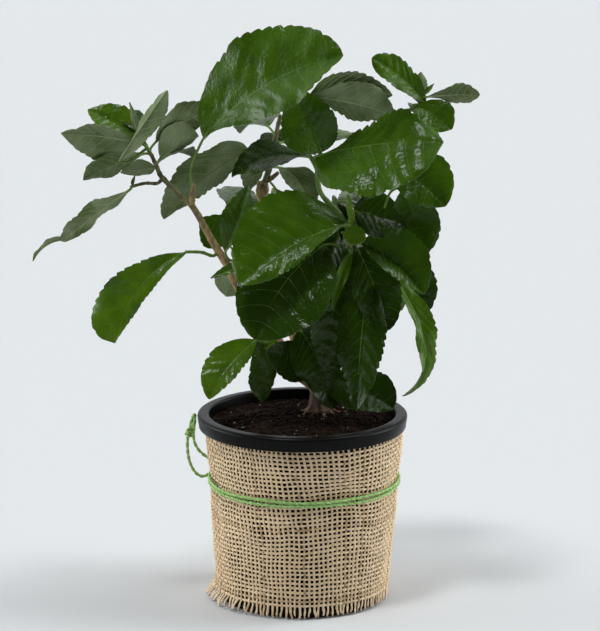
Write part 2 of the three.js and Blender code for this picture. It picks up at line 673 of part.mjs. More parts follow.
// A whole mass: the stem, then each leaf on its stalk. A ruled leaf that would touch a limb, the pot or
// another mass is skipped.
function mass(shape, taken) {
  const stemCurve = new THREE.CatmullRomCurve3(shape.places.map(point), false, "centripetal");
  let solid = limb({ places: shape.places, radii: shape.radii, sides: 6, steps: 4 });
  for (const leaf of shape.leaves) {
    solid = solid.add(blade(leaf));
    if (!leaf.stalkless) solid = solid.add(stalk(leaf, stemCurve.getPointAt(leaf.at)));
  }
  for (const leaf of ruledLeaves(shape)) {
    const root = stemCurve.getPointAt(leaf.at);
    leaf.base = root.clone().addScaledVector(direction(leaf.heading, leaf.rise + 10), leaf.reach).toArray();
    const grown = blade(leaf).add(stalk(leaf, root));
    const clear = taken.every(({ keepOut }) => keepOut.minGap(grown, 2 * GAP) > GAP);
    if (clear) solid = solid.add(grown);
  }
  return solid;
}

// ---------------------------------------------------------------- the assembly

const FINISH = {
  plastic: { color: 0x1c1d1e, roughness: 0.45, metalness: 0 },
  soil: { color: 0x1d1511, roughness: 0.98, metalness: 0 },
  jute: { color: 0xc4a67c, roughness: 0.92, metalness: 0 },
  twine: { color: 0x78bd6a, roughness: 0.8, metalness: 0 },
  bark: { color: 0x8c6d51, roughness: 0.85, metalness: 0 },
  leaf: { color: 0x2c5a1b, roughness: 0.4, metalness: 0 },
};

function named(name, solid, finish) {
  const mesh = new THREE.Mesh(geometryOf(solid), new THREE.MeshStandardMaterial(FINISH[finish]));
  mesh.name = name;
  return mesh;
}

const shrub = new THREE.Group();
shrub.name = "hibiscus_in_pot";

const container = new THREE.Group();
const shell = pot();
container.add(named("pot", shell, "plastic"));
container.add(named("soil", soil(), "soil"));
container.add(named("burlap_wrap", burlapWrap(), "jute"));
container.add(named("twine_band_upper", twineBand(TWINE.height + TWINE.spacing / 2), "twine"));
container.add(named("twine_band_lower", twineBand(TWINE.height - TWINE.spacing / 2), "twine"));
container.add(named("twine_loop", twineLoop(), "twine"));
shrub.add(container);

const wood = new THREE.Group();
const taken = limbs();
for (const { name, solid } of taken) wood.add(named(name, solid, "bark"));
taken.push({ name: "pot", keepOut: shell });
shrub.add(wood);

const crown = new THREE.Group();
for (const [name, shape] of Object.entries(MASSES)) {
  const solid = mainBody(mass(shape, taken)).asOriginal().simplify(TIDY);
  taken.push({ name, keepOut: solid });
  crown.add(named(name, solid, "leaf"));
}
shrub.add(crown);

export default shrub;
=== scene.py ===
"""Looks of a young hibiscus shrub in a nursery pot that is wrapped in burlap and tied with twine.

Sizes are in millimetres and angles in degrees, as in the part's source; mesh_object() turns them into
metres. +Z is up, -Y is the plant's front, and the origin is the middle of the pot's flat underside.
"""

from __future__ import annotations

import logging
import math
from collections.abc import Iterator
from dataclasses import dataclass
from enum import Enum

import bpy
import numpy as np
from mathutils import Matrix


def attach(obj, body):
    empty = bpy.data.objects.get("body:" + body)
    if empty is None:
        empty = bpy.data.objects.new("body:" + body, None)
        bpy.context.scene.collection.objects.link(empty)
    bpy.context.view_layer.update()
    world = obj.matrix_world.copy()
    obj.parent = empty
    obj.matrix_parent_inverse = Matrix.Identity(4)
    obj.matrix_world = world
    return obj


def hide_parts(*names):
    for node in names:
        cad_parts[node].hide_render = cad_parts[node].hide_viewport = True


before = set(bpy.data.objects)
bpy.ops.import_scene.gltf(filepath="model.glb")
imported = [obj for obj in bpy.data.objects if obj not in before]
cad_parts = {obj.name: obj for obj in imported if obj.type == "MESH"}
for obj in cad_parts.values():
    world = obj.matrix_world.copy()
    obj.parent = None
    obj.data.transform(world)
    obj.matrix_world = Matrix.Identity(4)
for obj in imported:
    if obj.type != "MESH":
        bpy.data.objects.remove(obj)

logging.basicConfig(level=logging.INFO, format="%(levelname)s %(message)s")
LOG = logging.getLogger("hibiscus")

MM = 0.001

Vec = tuple[float, float, float]
Pair = tuple[float, float]
Values = np.ndarray | float
Layers = tuple[Vec, ...]

UP = np.array((0.0, 0.0, 1.0))
BACK = np.array((0.0, 1.0, 0.0))


# ------------------------------------------------------------------ small numeric tools

SMALLEST_LENGTH = 1e-9
HASH_STEPS = np.array((374761393, 668265263, 2147483647))
HASH_SEED_STEP = 974711
HASH_MIX = 1274126177
WORD = 0xFFFFFFFF
HALF_WORD = 0xFFFF
DRAW_STEP = 1664525
DRAW_SHIFT = 1013904223
CURVE_POINTS = 33
SMALLEST_KNOT = 1e-4


def direction(heading: Values, rise: Values = 0.0) -> np.ndarray:
    """Gives unit vectors at a heading, from +X towards +Y, and a rise above level.

    Args:
        heading: degrees round +Z.
        rise: degrees above level.

    Returns:
        Array of shape (..., 3).
    """
    h, r = np.broadcast_arrays(np.radians(heading), np.radians(rise))
    return np.stack([np.cos(r) * np.cos(h), np.cos(r) * np.sin(h), np.sin(r)], axis=-1)


def unit(vectors: np.ndarray) -> np.ndarray:
    """Scales vectors, of shape (..., 3), to length one."""
    return vectors / np.maximum(np.linalg.norm(vectors, axis=-1, keepdims=True), SMALLEST_LENGTH)


def around(count: int) -> np.ndarray:
    """Gives the angles, in radians, of count even steps round a full turn."""
    return 2 * np.pi * np.arange(count) / count


def upright(radius: Values, turn: np.ndarray, height: Values) -> np.ndarray:
    """Gives points round the vertical axis: radius * cos(turn), radius * sin(turn), height.

    Args:
        radius: from the axis.
        turn: radians from +X towards +Y.
        height: above the underside.

    Returns:
        Array of the common shape of all three, and 3.
    """
    return np.stack(np.broadcast_arrays(radius * np.cos(turn), radius * np.sin(turn), height), axis=-1)


def turned_from(heading: Values, middle: float) -> Values:
    """Gives how many degrees a heading lies past a middle one, from -180 to 180."""
    return (heading - middle + 180) % 360 - 180


def ramp(value: Values, start: float, run: float, least: float = 0) -> Values:
    """Rises evenly from 0 at start to 1 a run further on, level outside and never below least."""
    return np.clip((value - start) / run, least, 1)


def bell(off: Values, spread: Values) -> Values:
    """A smooth hump: exp(-(off / spread)^2), which is 1 in the middle."""
    return np.exp(-((off / spread) ** 2))


def between(ends: Pair, share: Values) -> Values:
    """Gives the value that lies a share of the way from the first end to the second."""
    return ends[0] + (ends[1] - ends[0]) * share


def lattice_noise(points: np.ndarray, cell: float, seed: int) -> np.ndarray:
    """Smooth noise from -1 to 1: random values on a cubic lattice, blended by an S-curve between them.

    Args:
        points: array of shape (..., 3), in millimetres.
        cell: lattice spacing in millimetres.
        seed: picks the random values.

    Returns:
        Array of shape (...).
    """
    p = np.asarray(points, float) / cell
    corner = np.floor(p).astype(np.int64)
    f = p - corner
    f = f * f * (3 - 2 * f)
    total = np.zeros(p.shape[:-1])
    for far in np.ndindex(2, 2, 2):
        h = (((corner + far) * HASH_STEPS).sum(axis=-1) + seed * HASH_SEED_STEP) & WORD
        h = ((h ^ (h >> 13)) * HASH_MIX) & WORD
        value = ((h ^ (h >> 16)) & HALF_WORD) / (HALF_WORD / 2) - 1
        total += np.prod(np.where(far, f, 1 - f), axis=-1) * value
    return total


def layered_noise(points: np.ndarray, layers: Layers) -> np.ndarray:
    """Adds several noises up.

    Args:
        points: array of shape (..., 3), in millimetres.
        layers: height, cell and seed of each noise.

    Returns:
        Array of shape (...).
    """
    return sum(height * lattice_noise(points, cell, int(seed)) for height, cell, seed in layers)


def curve_through(places: tuple[Vec, ...] | list[Vec], count: int) -> np.ndarray:
    """A centripetal Catmull-Rom curve through places, cut into equal lengths.

    Args:
        places: the points it passes through.
        count: how many pieces it is cut into.

    Returns:
        Array of shape (count + 1, 3).
    """
    p = np.array(places, float)
    p = np.vstack([2 * p[0] - p[1], p, 2 * p[-1] - p[-2]])
    s = np.linspace(0, 1, CURVE_POINTS)[:, None]
    weights = (2 * s**3 - 3 * s**2 + 1, s**3 - 2 * s**2 + s, -2 * s**3 + 3 * s**2, s**3 - s**2)
    line = [p[1:2]]
    for a, b, c, d in zip(p[:-3], p[1:-2], p[2:-1], p[3:]):
        ta, tb, tc = (max(np.linalg.norm(y - x) ** 0.5, SMALLEST_KNOT) for x, y in ((a, b), (b, c), (c, d)))
        leave = (b - a) / ta - (c - a) / (ta + tb) + (c - b) / tb
        reach = (c - b) / tb - (d - b) / (tb + tc) + (d - c) / tc
        line.append(sum(w * q for w, q in zip(weights, (b, leave * tb, c, reach * tb)))[1:])
    return even(np.vstack(line), count)


def run_along(line: np.ndarray) -> np.ndarray:
    """Gives the length of a polyline, of shape (n, 3), up to each of its points."""
    return np.concatenate([[0], np.cumsum(np.linalg.norm(np.diff(line, axis=0), axis=1))])


def even(line: np.ndarray, count: int) -> np.ndarray:
    """Cuts a polyline into equal lengths.

    Args:
        line: array of shape (n, 3).
        count: how many pieces.

    Returns:
        Array of shape (count + 1, 3).
    """
    run = run_along(line)
    at = np.linspace(0, run[-1], count + 1)
    return np.stack([np.interp(at, run, line[:, k]) for k in range(3)], axis=1)


def seeded(seed: int) -> Iterator[float]:
    """A repeatable stream of numbers from 0 to 1, the same as the part's source draws.

    Args:
        seed: the stream's start.

    Yields:
        Floats from 0 to 1.
    """
    state = seed
    while True:
        state = (state * DRAW_STEP + DRAW_SHIFT) & WORD
        yield state / (WORD + 1)


# ------------------------------------------------------------------ surfaces and mesh objects


class Crease(Enum):
    """Edges sharper than this many degrees stay sharp."""

    STONE = 30
    TURNED = 35
    CUT = 50
    THREAD = 60
    SOFT = 80


@dataclass
class Surface:
    """One or more closed skins: points, four-sided and three-sided faces, and a finish number per face."""

    points: np.ndarray
    quads: np.ndarray
    tris: np.ndarray
    quad_finish: np.ndarray
    tri_finish: np.ndarray


def join(surfaces: list[Surface]) -> Surface:
    """Puts several surfaces in one.

    Args:
        surfaces: the surfaces, at least one.

    Returns:
        One surface that holds them all.
    """
    starts = np.concatenate([[0], np.cumsum([len(s.points) for s in surfaces])])
    return Surface(
        np.vstack([s.points for s in surfaces]),
        np.vstack([s.quads + k for s, k in zip(surfaces, starts)]),
        np.vstack([s.tris + k for s, k in zip(surfaces, starts)]),
        np.concatenate([s.quad_finish for s in surfaces]),
        np.concatenate([s.tri_finish for s in surfaces]),
    )


def loft(rings: np.ndarray, finish: np.ndarray | int = 0, ring_closed: bool = False) -> Surface:
    """Skins rings of points. Each ring joins the next, and a fan closes both ends.

    Args:
        rings: array of shape (n, m, 3) or (k, n, m, 3) for k separate skins. A ring runs clockwise as
            seen by one who looks along the way the rings go.
        finish: finish number of all faces, or one per column of a ring, or an array (k,) per skin.
        ring_closed: the last ring joins the first, so there are no ends.

    Returns:
        The skins.
    """
    many = rings if rings.ndim == 4 else rings[None]
    k, n, m, _ = many.shape
    i = np.arange(n if ring_closed else n - 1)[:, None]
    j = np.arange(m)[None, :]
    ii, jj = (i + 1) % n, (j + 1) % m
    quad = np.stack([i * m + j, i * m + jj, ii * m + jj, ii * m + j], axis=-1).reshape(-1, 4)
    size = n * m + (0 if ring_closed else 2)
    if ring_closed:
        points = many.reshape(k, n * m, 3)
        tri = np.zeros((0, 3), int)
    else:
        ends = np.stack([many[:, 0].mean(axis=1), many[:, -1].mean(axis=1)], axis=1)
        points = np.concatenate([many.reshape(k, n * m, 3), ends], axis=1)
        a, b = np.arange(m), (np.arange(m) + 1) % m
        first = np.stack([np.full(m, n * m), b, a], axis=1)
        last = np.stack([np.full(m, n * m + 1), (n - 1) * m + a, (n - 1) * m + b], axis=1)
        tri = np.vstack([first, last])
    shift = (np.arange(k) * size)[:, None, None]
    quads = (quad[None] + shift).reshape(-1, 4)
    tris = (tri[None] + shift).reshape(-1, 3)
    paint = np.asarray(finish)
    if paint.ndim and rings.ndim == 4:
        quad_finish, tri_finish = np.repeat(paint, len(quad)), np.repeat(paint, len(tri))
    elif paint.ndim:
        quad_finish = np.tile(paint, len(i))
        tri_finish = np.tile(paint, 2) if len(tri) else np.zeros(0, int)
    else:
        quad_finish, tri_finish = np.full(len(quads), int(paint)), np.full(len(tris), int(paint))
    return Surface(points.reshape(-1, 3), quads, tris, quad_finish, tri_finish)


def tube(
    paths: np.ndarray,
    wide: Values,
    sides: int,
    facing: np.ndarray,
    deep: Values | None = None,
    finish: np.ndarray | int = 0,
    ring_closed: bool = False,
    profile: Values = 1,
) -> Surface:
    """Sweeps an oval along paths.

    Args:
        paths: centres, of shape (n, 3) or (k, n, 3).
        wide: half width across, square to facing; broadcast to the paths' shape without its last axis.
        sides: points round the oval.
        facing: the way the oval's depth points, broadcast to the paths' shape.
        deep: half depth along facing; the same as wide if left out.
        finish: as in loft().
        ring_closed: the path's end joins its start.
        profile: extra scale of the oval's points, broadcast to (..., n, sides).

    Returns:
        The tubes.
    """
    deep = wide if deep is None else deep
    if ring_closed:
        along = unit(np.roll(paths, -1, axis=-2) - np.roll(paths, 1, axis=-2))
    else:
        along = unit(np.gradient(paths, axis=-2))
    across = unit(np.cross(along, np.broadcast_to(facing, paths.shape)))
    out = np.cross(across, along)
    turn = around(sides)
    shape = paths.shape[:-1]
    w = np.broadcast_to(wide, shape)[..., None]
    d = np.broadcast_to(deep, shape)[..., None]
    x = (w * np.cos(turn) * profile)[..., None] * across[..., None, :]
    y = (d * np.sin(turn) * profile)[..., None] * out[..., None, :]
    return loft(paths[..., None, :] - x + y, finish, ring_closed)


def lathe(profile: list[Pair], segments: int) -> Surface:
    """Turns a profile round +Z. It runs outwards below and back inwards above, from axis to axis.

    Args:
        profile: (radius, height) pairs; the first and the last lie on the axis.
        segments: how many pieces round.

    Returns:
        A closed surface.
    """
    line = np.array(profile, float)
    made = loft(upright(line[1:-1, None, 0], around(segments), line[1:-1, None, 1]))
    made.points[-2:] = [(0, 0, line[0, 1]), (0, 0, line[-1, 1])]
    return made


def mesh_object(
    name: str, surface: Surface, finishes: list[bpy.types.Material], crease: Crease = Crease.THREAD
) -> bpy.types.Object:
    """Makes a Blender object of a surface, in metres, with its place in its mesh.

    Args:
        name: the piece's name.
        surface: its geometry in millimetres.
        finishes: materials; a face's finish number picks one.
        crease: which edges stay sharp.

    Returns:
        The new object.
    """
    mesh = bpy.data.meshes.new(name)
    mesh.vertices.add(len(surface.points))
    mesh.vertices.foreach_set("co", (surface.points * MM).astype(np.float32).ravel())
    loops = np.concatenate([surface.quads.ravel(), surface.tris.ravel()]).astype(np.int32)
    mesh.loops.add(len(loops))
    mesh.loops.foreach_set("vertex_index", loops)
    nq, nt = len(surface.quads), len(surface.tris)
    starts = np.concatenate([np.arange(nq) * 4, nq * 4 + np.arange(nt) * 3]).astype(np.int32)
    paint = np.concatenate([surface.quad_finish, surface.tri_finish]).astype(np.int32)
    mesh.polygons.add(nq + nt)
    mesh.polygons.foreach_set("loop_start", starts)
    mesh.polygons.foreach_set("material_index", paint)
    mesh.polygons.foreach_set("use_smooth", np.ones(nq + nt, bool))
    mesh.update(calc_edges=True)
    mesh.validate()
    for material in finishes:
        mesh.materials.append(material)
    mesh.set_sharp_from_angle(angle=math.radians(crease.value))
    obj = bpy.data.objects.new(name, mesh)
    bpy.context.scene.collection.objects.link(obj)
    LOG.info("%s: %d faces, %d triangles", name, nq + nt, 2 * nq + nt)
    return obj


# ------------------------------------------------------------------ finishes


class Tint(Enum):
    """Linear base colours."""

    # The next two greens are darker leaf tones that also serve as painted shade: placed leaves that lie in
    # the crown's shadow take them.
    LEAF_DEEP_AND_PAINTED_SHADE = (0.014, 0.036, 0.0014)
    LEAF_DIM_AND_PAINTED_SHADE = (0.019, 0.047, 0.0018)
    LEAF_MID = (0.045, 0.102, 0.0038)
    LEAF_SHADE = (0.030, 0.074, 0.0027)
    LEAF_FRESH = (0.075, 0.150, 0.0060)
    LEAF_UNDER = (0.215, 0.275, 0.145)
    LEAF_UNDER_DEEP = (0.090, 0.135, 0.040)
    VEIN_UNDER = (0.250, 0.310, 0.155)
    VEIN = (0.080, 0.160, 0.018)
    STALK = (0.110, 0.200, 0.035)
    BARK_TAN = (0.440, 0.290, 0.140)
    BARK_BROWN = (0.185, 0.120, 0.055)
    BARK_OLIVE = (0.150, 0.150, 0.065)
    BARK_SHADE = (0.060, 0.055, 0.030)
    # A reddish root colour, darkened in part as painted shade for the shadow under the foliage.
    ROOT = (0.105, 0.046, 0.028)
    PLASTIC = (0.0032, 0.0032, 0.0030)
    SOIL = (0.0100, 0.0065, 0.0045)
    SOIL_WARM = (0.0220, 0.0110, 0.0060)
    PERLITE = (0.620, 0.600, 0.560)
    JUTE_PALE = (0.880, 0.690, 0.462)
    JUTE_MID = (0.715, 0.535, 0.332)
    JUTE_DARK = (0.430, 0.295, 0.165)
    TWINE = (0.450, 0.670, 0.270)
    TWINE_DARK = (0.190, 0.370, 0.090)
    STAGE = (0.590, 0.604, 0.614)

    @property
    def rgba(self) -> tuple[float, float, float, float]:
        """The colour with full cover."""
        return (*self.value, 1.0)


class Bench:
    """The nodes of a material, or of the surround, while they are put together."""

    def __init__(self, owner: bpy.types.Material | bpy.types.World) -> None:
        """Starts from the owner's own nodes, and adds the Object coordinates that all patterns read.

        Args:
            owner: what the nodes belong to.
        """
        owner.use_nodes = True
        self.tree = owner.node_tree
        self.place = self.add("ShaderNodeTexCoord", {}).outputs["Object"]

    def fill(self, node: bpy.types.Node, inputs: dict[str | int, object]) -> None:
        """Fills a node's inputs: a socket is linked to the input, and anything else is its value.

        Args:
            node: the node.
            inputs: what goes in, by the input's name or number.
        """
        for key, value in inputs.items():
            if isinstance(value, bpy.types.NodeSocket):
                self.tree.links.new(value, node.inputs[key])
            else:
                node.inputs[key].default_value = value

    def shade(self, inputs: dict[str | int, object]) -> None:
        """Fills inputs of the material's shader."""
        self.fill(self.tree.nodes["Principled BSDF"], inputs)

    def add(self, kind: str, inputs: dict[str | int, object], **options: str) -> bpy.types.Node:
        """Adds a node.

        Args:
            kind: its type.
            inputs: as in fill().
            options: its own settings, such as which sum a Math node works out.

        Returns:
            The node.
        """
        node = self.tree.nodes.new(kind)
        for name, value in options.items():
            setattr(node, name, value)
        self.fill(node, inputs)
        return node

    def noise(self, place: bpy.types.NodeSocket, size: float, detail: float) -> bpy.types.NodeSocket:
        """Adds a noise.

        Args:
            place: its coordinates.
            size: of its spots, in millimetres.
            detail: how many finer noises lie on it.

        Returns:
            Its value, from 0 to 1.
        """
        inputs = {"Vector": place, "Scale": 1 / (size * MM), "Detail": detail}
        return self.add("ShaderNodeTexNoise", inputs).outputs["Fac"]

    def spread(self, value: bpy.types.NodeSocket, ends: Pair) -> bpy.types.NodeSocket:
        """Stretches the part of a value between two ends to the full range from 0 to 1."""
        inputs = {"Value": value, "From Min": ends[0], "From Max": ends[1]}
        return self.add("ShaderNodeMapRange", inputs).outputs["Result"]

    def blend(self, share: bpy.types.NodeSocket, first: object, second: object) -> bpy.types.NodeSocket:
        """Mixes two colours by a share of the second. Each is a colour or a socket."""
        inputs = {"Factor": share, "A": first, "B": second}
        return self.add("ShaderNodeMix", inputs, data_type="RGBA").outputs["Result"]

    def relief(self, height: bpy.types.NodeSocket, depth: float) -> bpy.types.NodeSocket:
        """Turns a value into a relief of a depth in millimetres."""
        inputs = {"Height": height, "Distance": depth * MM, "Strength": 1}
        return self.add("ShaderNodeBump", inputs).outputs["Normal"]


@dataclass(frozen=True)
class Finish:
    """What every finish has: a name, and a material that is made once and kept."""

    name: str

    def dress(self, bench: Bench) -> None:
        """Puts the finish's nodes on the bench. Each kind of finish has its own way."""
        raise NotImplementedError

    def material(self) -> bpy.types.Material:
        """Makes the material the first time it is asked for.

        Returns:
            The material.
        """
        made = bpy.data.materials.get(self.name)
        if made is None:
            made = bpy.data.materials.new(self.name)
            self.dress(Bench(made))
        return made


@dataclass(frozen=True)
class SpottedFinish(Finish):
    """A base colour that wanders towards a second one in patches, and a relief of fine grain."""

    tint: Tint
    roughness: float
    specular: float
    second: Tint | None = None
    patch: float = 0
    grain: float = 0
    depth: float = 0
    patch_detail: float = 3
    patch_ends: Pair = (0.35, 0.65)
    grain_detail: float = 4

    def dress(self, bench: Bench) -> None:
        """Noise on Object coordinates mixes the two colours, and a finer one gives the relief.

        Args:
            bench: where the material is put together.
        """
        bench.shade(
            {"Base Color": self.tint.rgba, "Roughness": self.roughness, "Specular IOR Level": self.specular}
        )
        if self.second:
            spots = bench.spread(bench.noise(bench.place, self.patch, self.patch_detail), self.patch_ends)
            bench.shade({"Base Color": bench.blend(spots, self.tint.rgba, self.second.rgba)})
        if self.grain:
            fine = bench.noise(bench.place, self.grain, self.grain_detail)
            bench.shade({"Normal": bench.relief(fine, self.depth)})


@dataclass(frozen=True)
class BarkFinish(Finish):
    """Bark whose two low tints give way to two high ones with height, and that is streaked lengthwise."""

    change: Pair
    low: tuple[Tint, Tint] = (Tint.BARK_TAN, Tint.BARK_BROWN)
    high: tuple[Tint, Tint] = (Tint.BARK_OLIVE, Tint.BARK_SHADE)
    roughness: float = 0.78
    specular: float = 0.25
    streak: Vec = (1, 1, 0.45)
    patch: float = 3
    grain: float = 0.8
    depth: float = 0.5
    detail: float = 3
    patch_ends: Pair = (0.4, 0.64)

    def dress(self, bench: Bench) -> None:
        """Noise mixes the two tints of each pair, height picks the pair, and a finer noise gives the relief.
        On the limbs the low pair is older bark and the high pair younger; on the trunk's foot the low pair is
        painted shade.

        Args:
            bench: where the material is put together.
        """
        streaks = {"Vector": bench.place, "Scale": self.streak}
        place = bench.add("ShaderNodeMapping", streaks).outputs["Vector"]
        spots = bench.spread(bench.noise(place, self.patch, self.detail), self.patch_ends)
        # old and young stand for the low and the high pair; on the trunk's foot the low pair is painted
        # shade.
        old, young = (bench.blend(spots, first.rgba, second.rgba) for first, second in (self.low, self.high))
        height = bench.add("ShaderNodeSeparateXYZ", {"Vector": bench.place}).outputs["Z"]
        age = bench.spread(height, (self.change[0] * MM, self.change[1] * MM))
        fine = bench.noise(place, self.grain, self.detail)
        bench.shade(
            {
                "Base Color": bench.blend(age, old, young),
                "Roughness": self.roughness,
                "Specular IOR Level": self.specular,
                "Normal": bench.relief(fine, self.depth),
            }
        )


# The darkest leaf finish: a darker green, partly the leaves' own tone and partly painted shade for leaves in
# the crown's shadow.
LEAF_DEEP_AND_PAINTED_SHADE = SpottedFinish("leaf_deep_and_painted_shade", Tint.LEAF_DEEP_AND_PAINTED_SHADE, 0.12, 0.19, Tint.LEAF_DIM_AND_PAINTED_SHADE, 15, 3, 0.6)
LEAF_MID = SpottedFinish("leaf_mid", Tint.LEAF_MID, 0.12, 0.18, Tint.LEAF_SHADE, 15, 3, 0.6)
LEAF_FRESH = SpottedFinish("leaf_fresh", Tint.LEAF_FRESH, 0.2, 0.15, Tint.LEAF_MID, 15, 5, 0.6)
LEAF_UNDER = SpottedFinish("leaf_under", Tint.LEAF_UNDER, 0.5, 0.16, Tint.LEAF_UNDER_DEEP, 20, 4, 0.4)
VEIN = SpottedFinish("leaf_vein", Tint.VEIN, 0.4, 0.25)
VEIN_UNDER = SpottedFinish("leaf_vein_under", Tint.VEIN_UNDER, 0.5, 0.2)
STALK = SpottedFinish("stalk", Tint.STALK, 0.45, 0.35, Tint.LEAF_FRESH, 9)
BARK = BarkFinish("bark_old", (400, 500))
BARK_LEFT = BarkFinish("bark_left", (258, 318))
BARK_YOUNG = BarkFinish("bark_young", (200, 260))
# The trunk's foot: a reddish root tint and dark bark that hold up to the fork, partly its own colour and
# partly painted shade under the foliage.
BARK_FOOT_PAINTED_SHADE = BarkFinish(
    "bark_foot_painted_shade", (160, 190), (Tint.ROOT, Tint.BARK_SHADE), (Tint.BARK_BROWN, Tint.BARK_TAN)
)
BARK_STUB = BarkFinish("bark_stub", (292, 340))
ROOT = SpottedFinish("root", Tint.ROOT, 0.7, 0.3, Tint.BARK_BROWN, 5, 0.8, 0.3)
PLASTIC = SpottedFinish("black_plastic", Tint.PLASTIC, 0.32, 0.09, grain=1.2, depth=0.02)
SOIL = SpottedFinish("peat_mix", Tint.SOIL, 0.95, 0.08, Tint.SOIL_WARM, 5, 0.8, 0.7)
CRUMB = SpottedFinish("soil_crumb", Tint.SOIL_WARM, 0.95, 0.08, Tint.SOIL, 3)
PERLITE = SpottedFinish("perlite", Tint.PERLITE, 0.9, 0.2)
JUTE = [
    SpottedFinish(name, tint, 0.92, 0.12, second, 2.5, 0.45, 0.4)
    for name, tint, second in (
        ("jute_pale", Tint.JUTE_PALE, Tint.JUTE_MID),
        ("jute_mid", Tint.JUTE_MID, Tint.JUTE_PALE),
        ("jute_dark", Tint.JUTE_DARK, Tint.JUTE_MID),
    )
]
TWINE = SpottedFinish("twine_green", Tint.TWINE, 0.75, 0.15, Tint.TWINE_DARK, 1.6, 0.5, 0.3)
STAGE = SpottedFinish("stage", Tint.STAGE, 0.95, 0.05)


# ------------------------------------------------------------------ pot and soil


@dataclass(frozen=True)
class PotShape:
    """Sizes of the nursery pot, as in the part's source."""

    height: float = 145
    rim_radius: float = 80
    rim_inner: float = 71
    rim_depth: float = 11
    rim_taper: float = 1
    rim_wall: float = 2.2
    rim_gap: float = 0.4
    rim_lip: float = 1.6
    foot_radius: float = 62
    neck_radius: float = 72.3
    wall: float = 1.8
    floor: float = 2.4
    corner: float = 2.5
    corner_points: int = 6
    drain_holes: int = 6
    drain_radius: float = 4
    drain_ring: float = 42
    drain_sides: int = 32
    segments: int = 192

    def wall_radius(self, height: Values) -> Values:
        """Outside radius of the wall at a height: a straight taper from the foot to the rim."""
        return between((self.foot_radius, self.neck_radius), height / (self.height - self.rim_depth))


@dataclass(frozen=True)
class SoilShape:
    """Sizes of the soil: its top falls from a flat middle to its edge, and carries two sizes of lumps."""

    top: float = 140.5
    edge: float = 137
    edge_inset: float = 2.5
    flat_radius: float = 42
    lump: float = 1.1
    lumps: Layers = ((0.6, 7, 1), (0.4, 2.6, 2))
    hub: float = 0.6
    rim_gap: float = 0.8
    wall_gap: float = 1.3
    floor_gap: float = 0.3
    rings: int = 92
    segments: int = 300


@dataclass(frozen=True)
class Grains:
    """One kind of small stones on the soil: their number, smallest and largest radius, finish and seed."""

    name: str
    count: int
    size: Pair
    finish: Finish
    seed: int
    inset: float = 4
    smaller: float = 3
    proud: float = 0.25
    flat: float = 0.8
    uneven: float = 0.35
    sides: int = 5
    levels: Vec = (-50, 0, 50)


GRAINS = (
    Grains("soil_crumbs", 2600, (0.5, 2.0), CRUMB, 5),
    Grains("soil_specks", 90, (0.35, 1.0), PERLITE, 6),
)


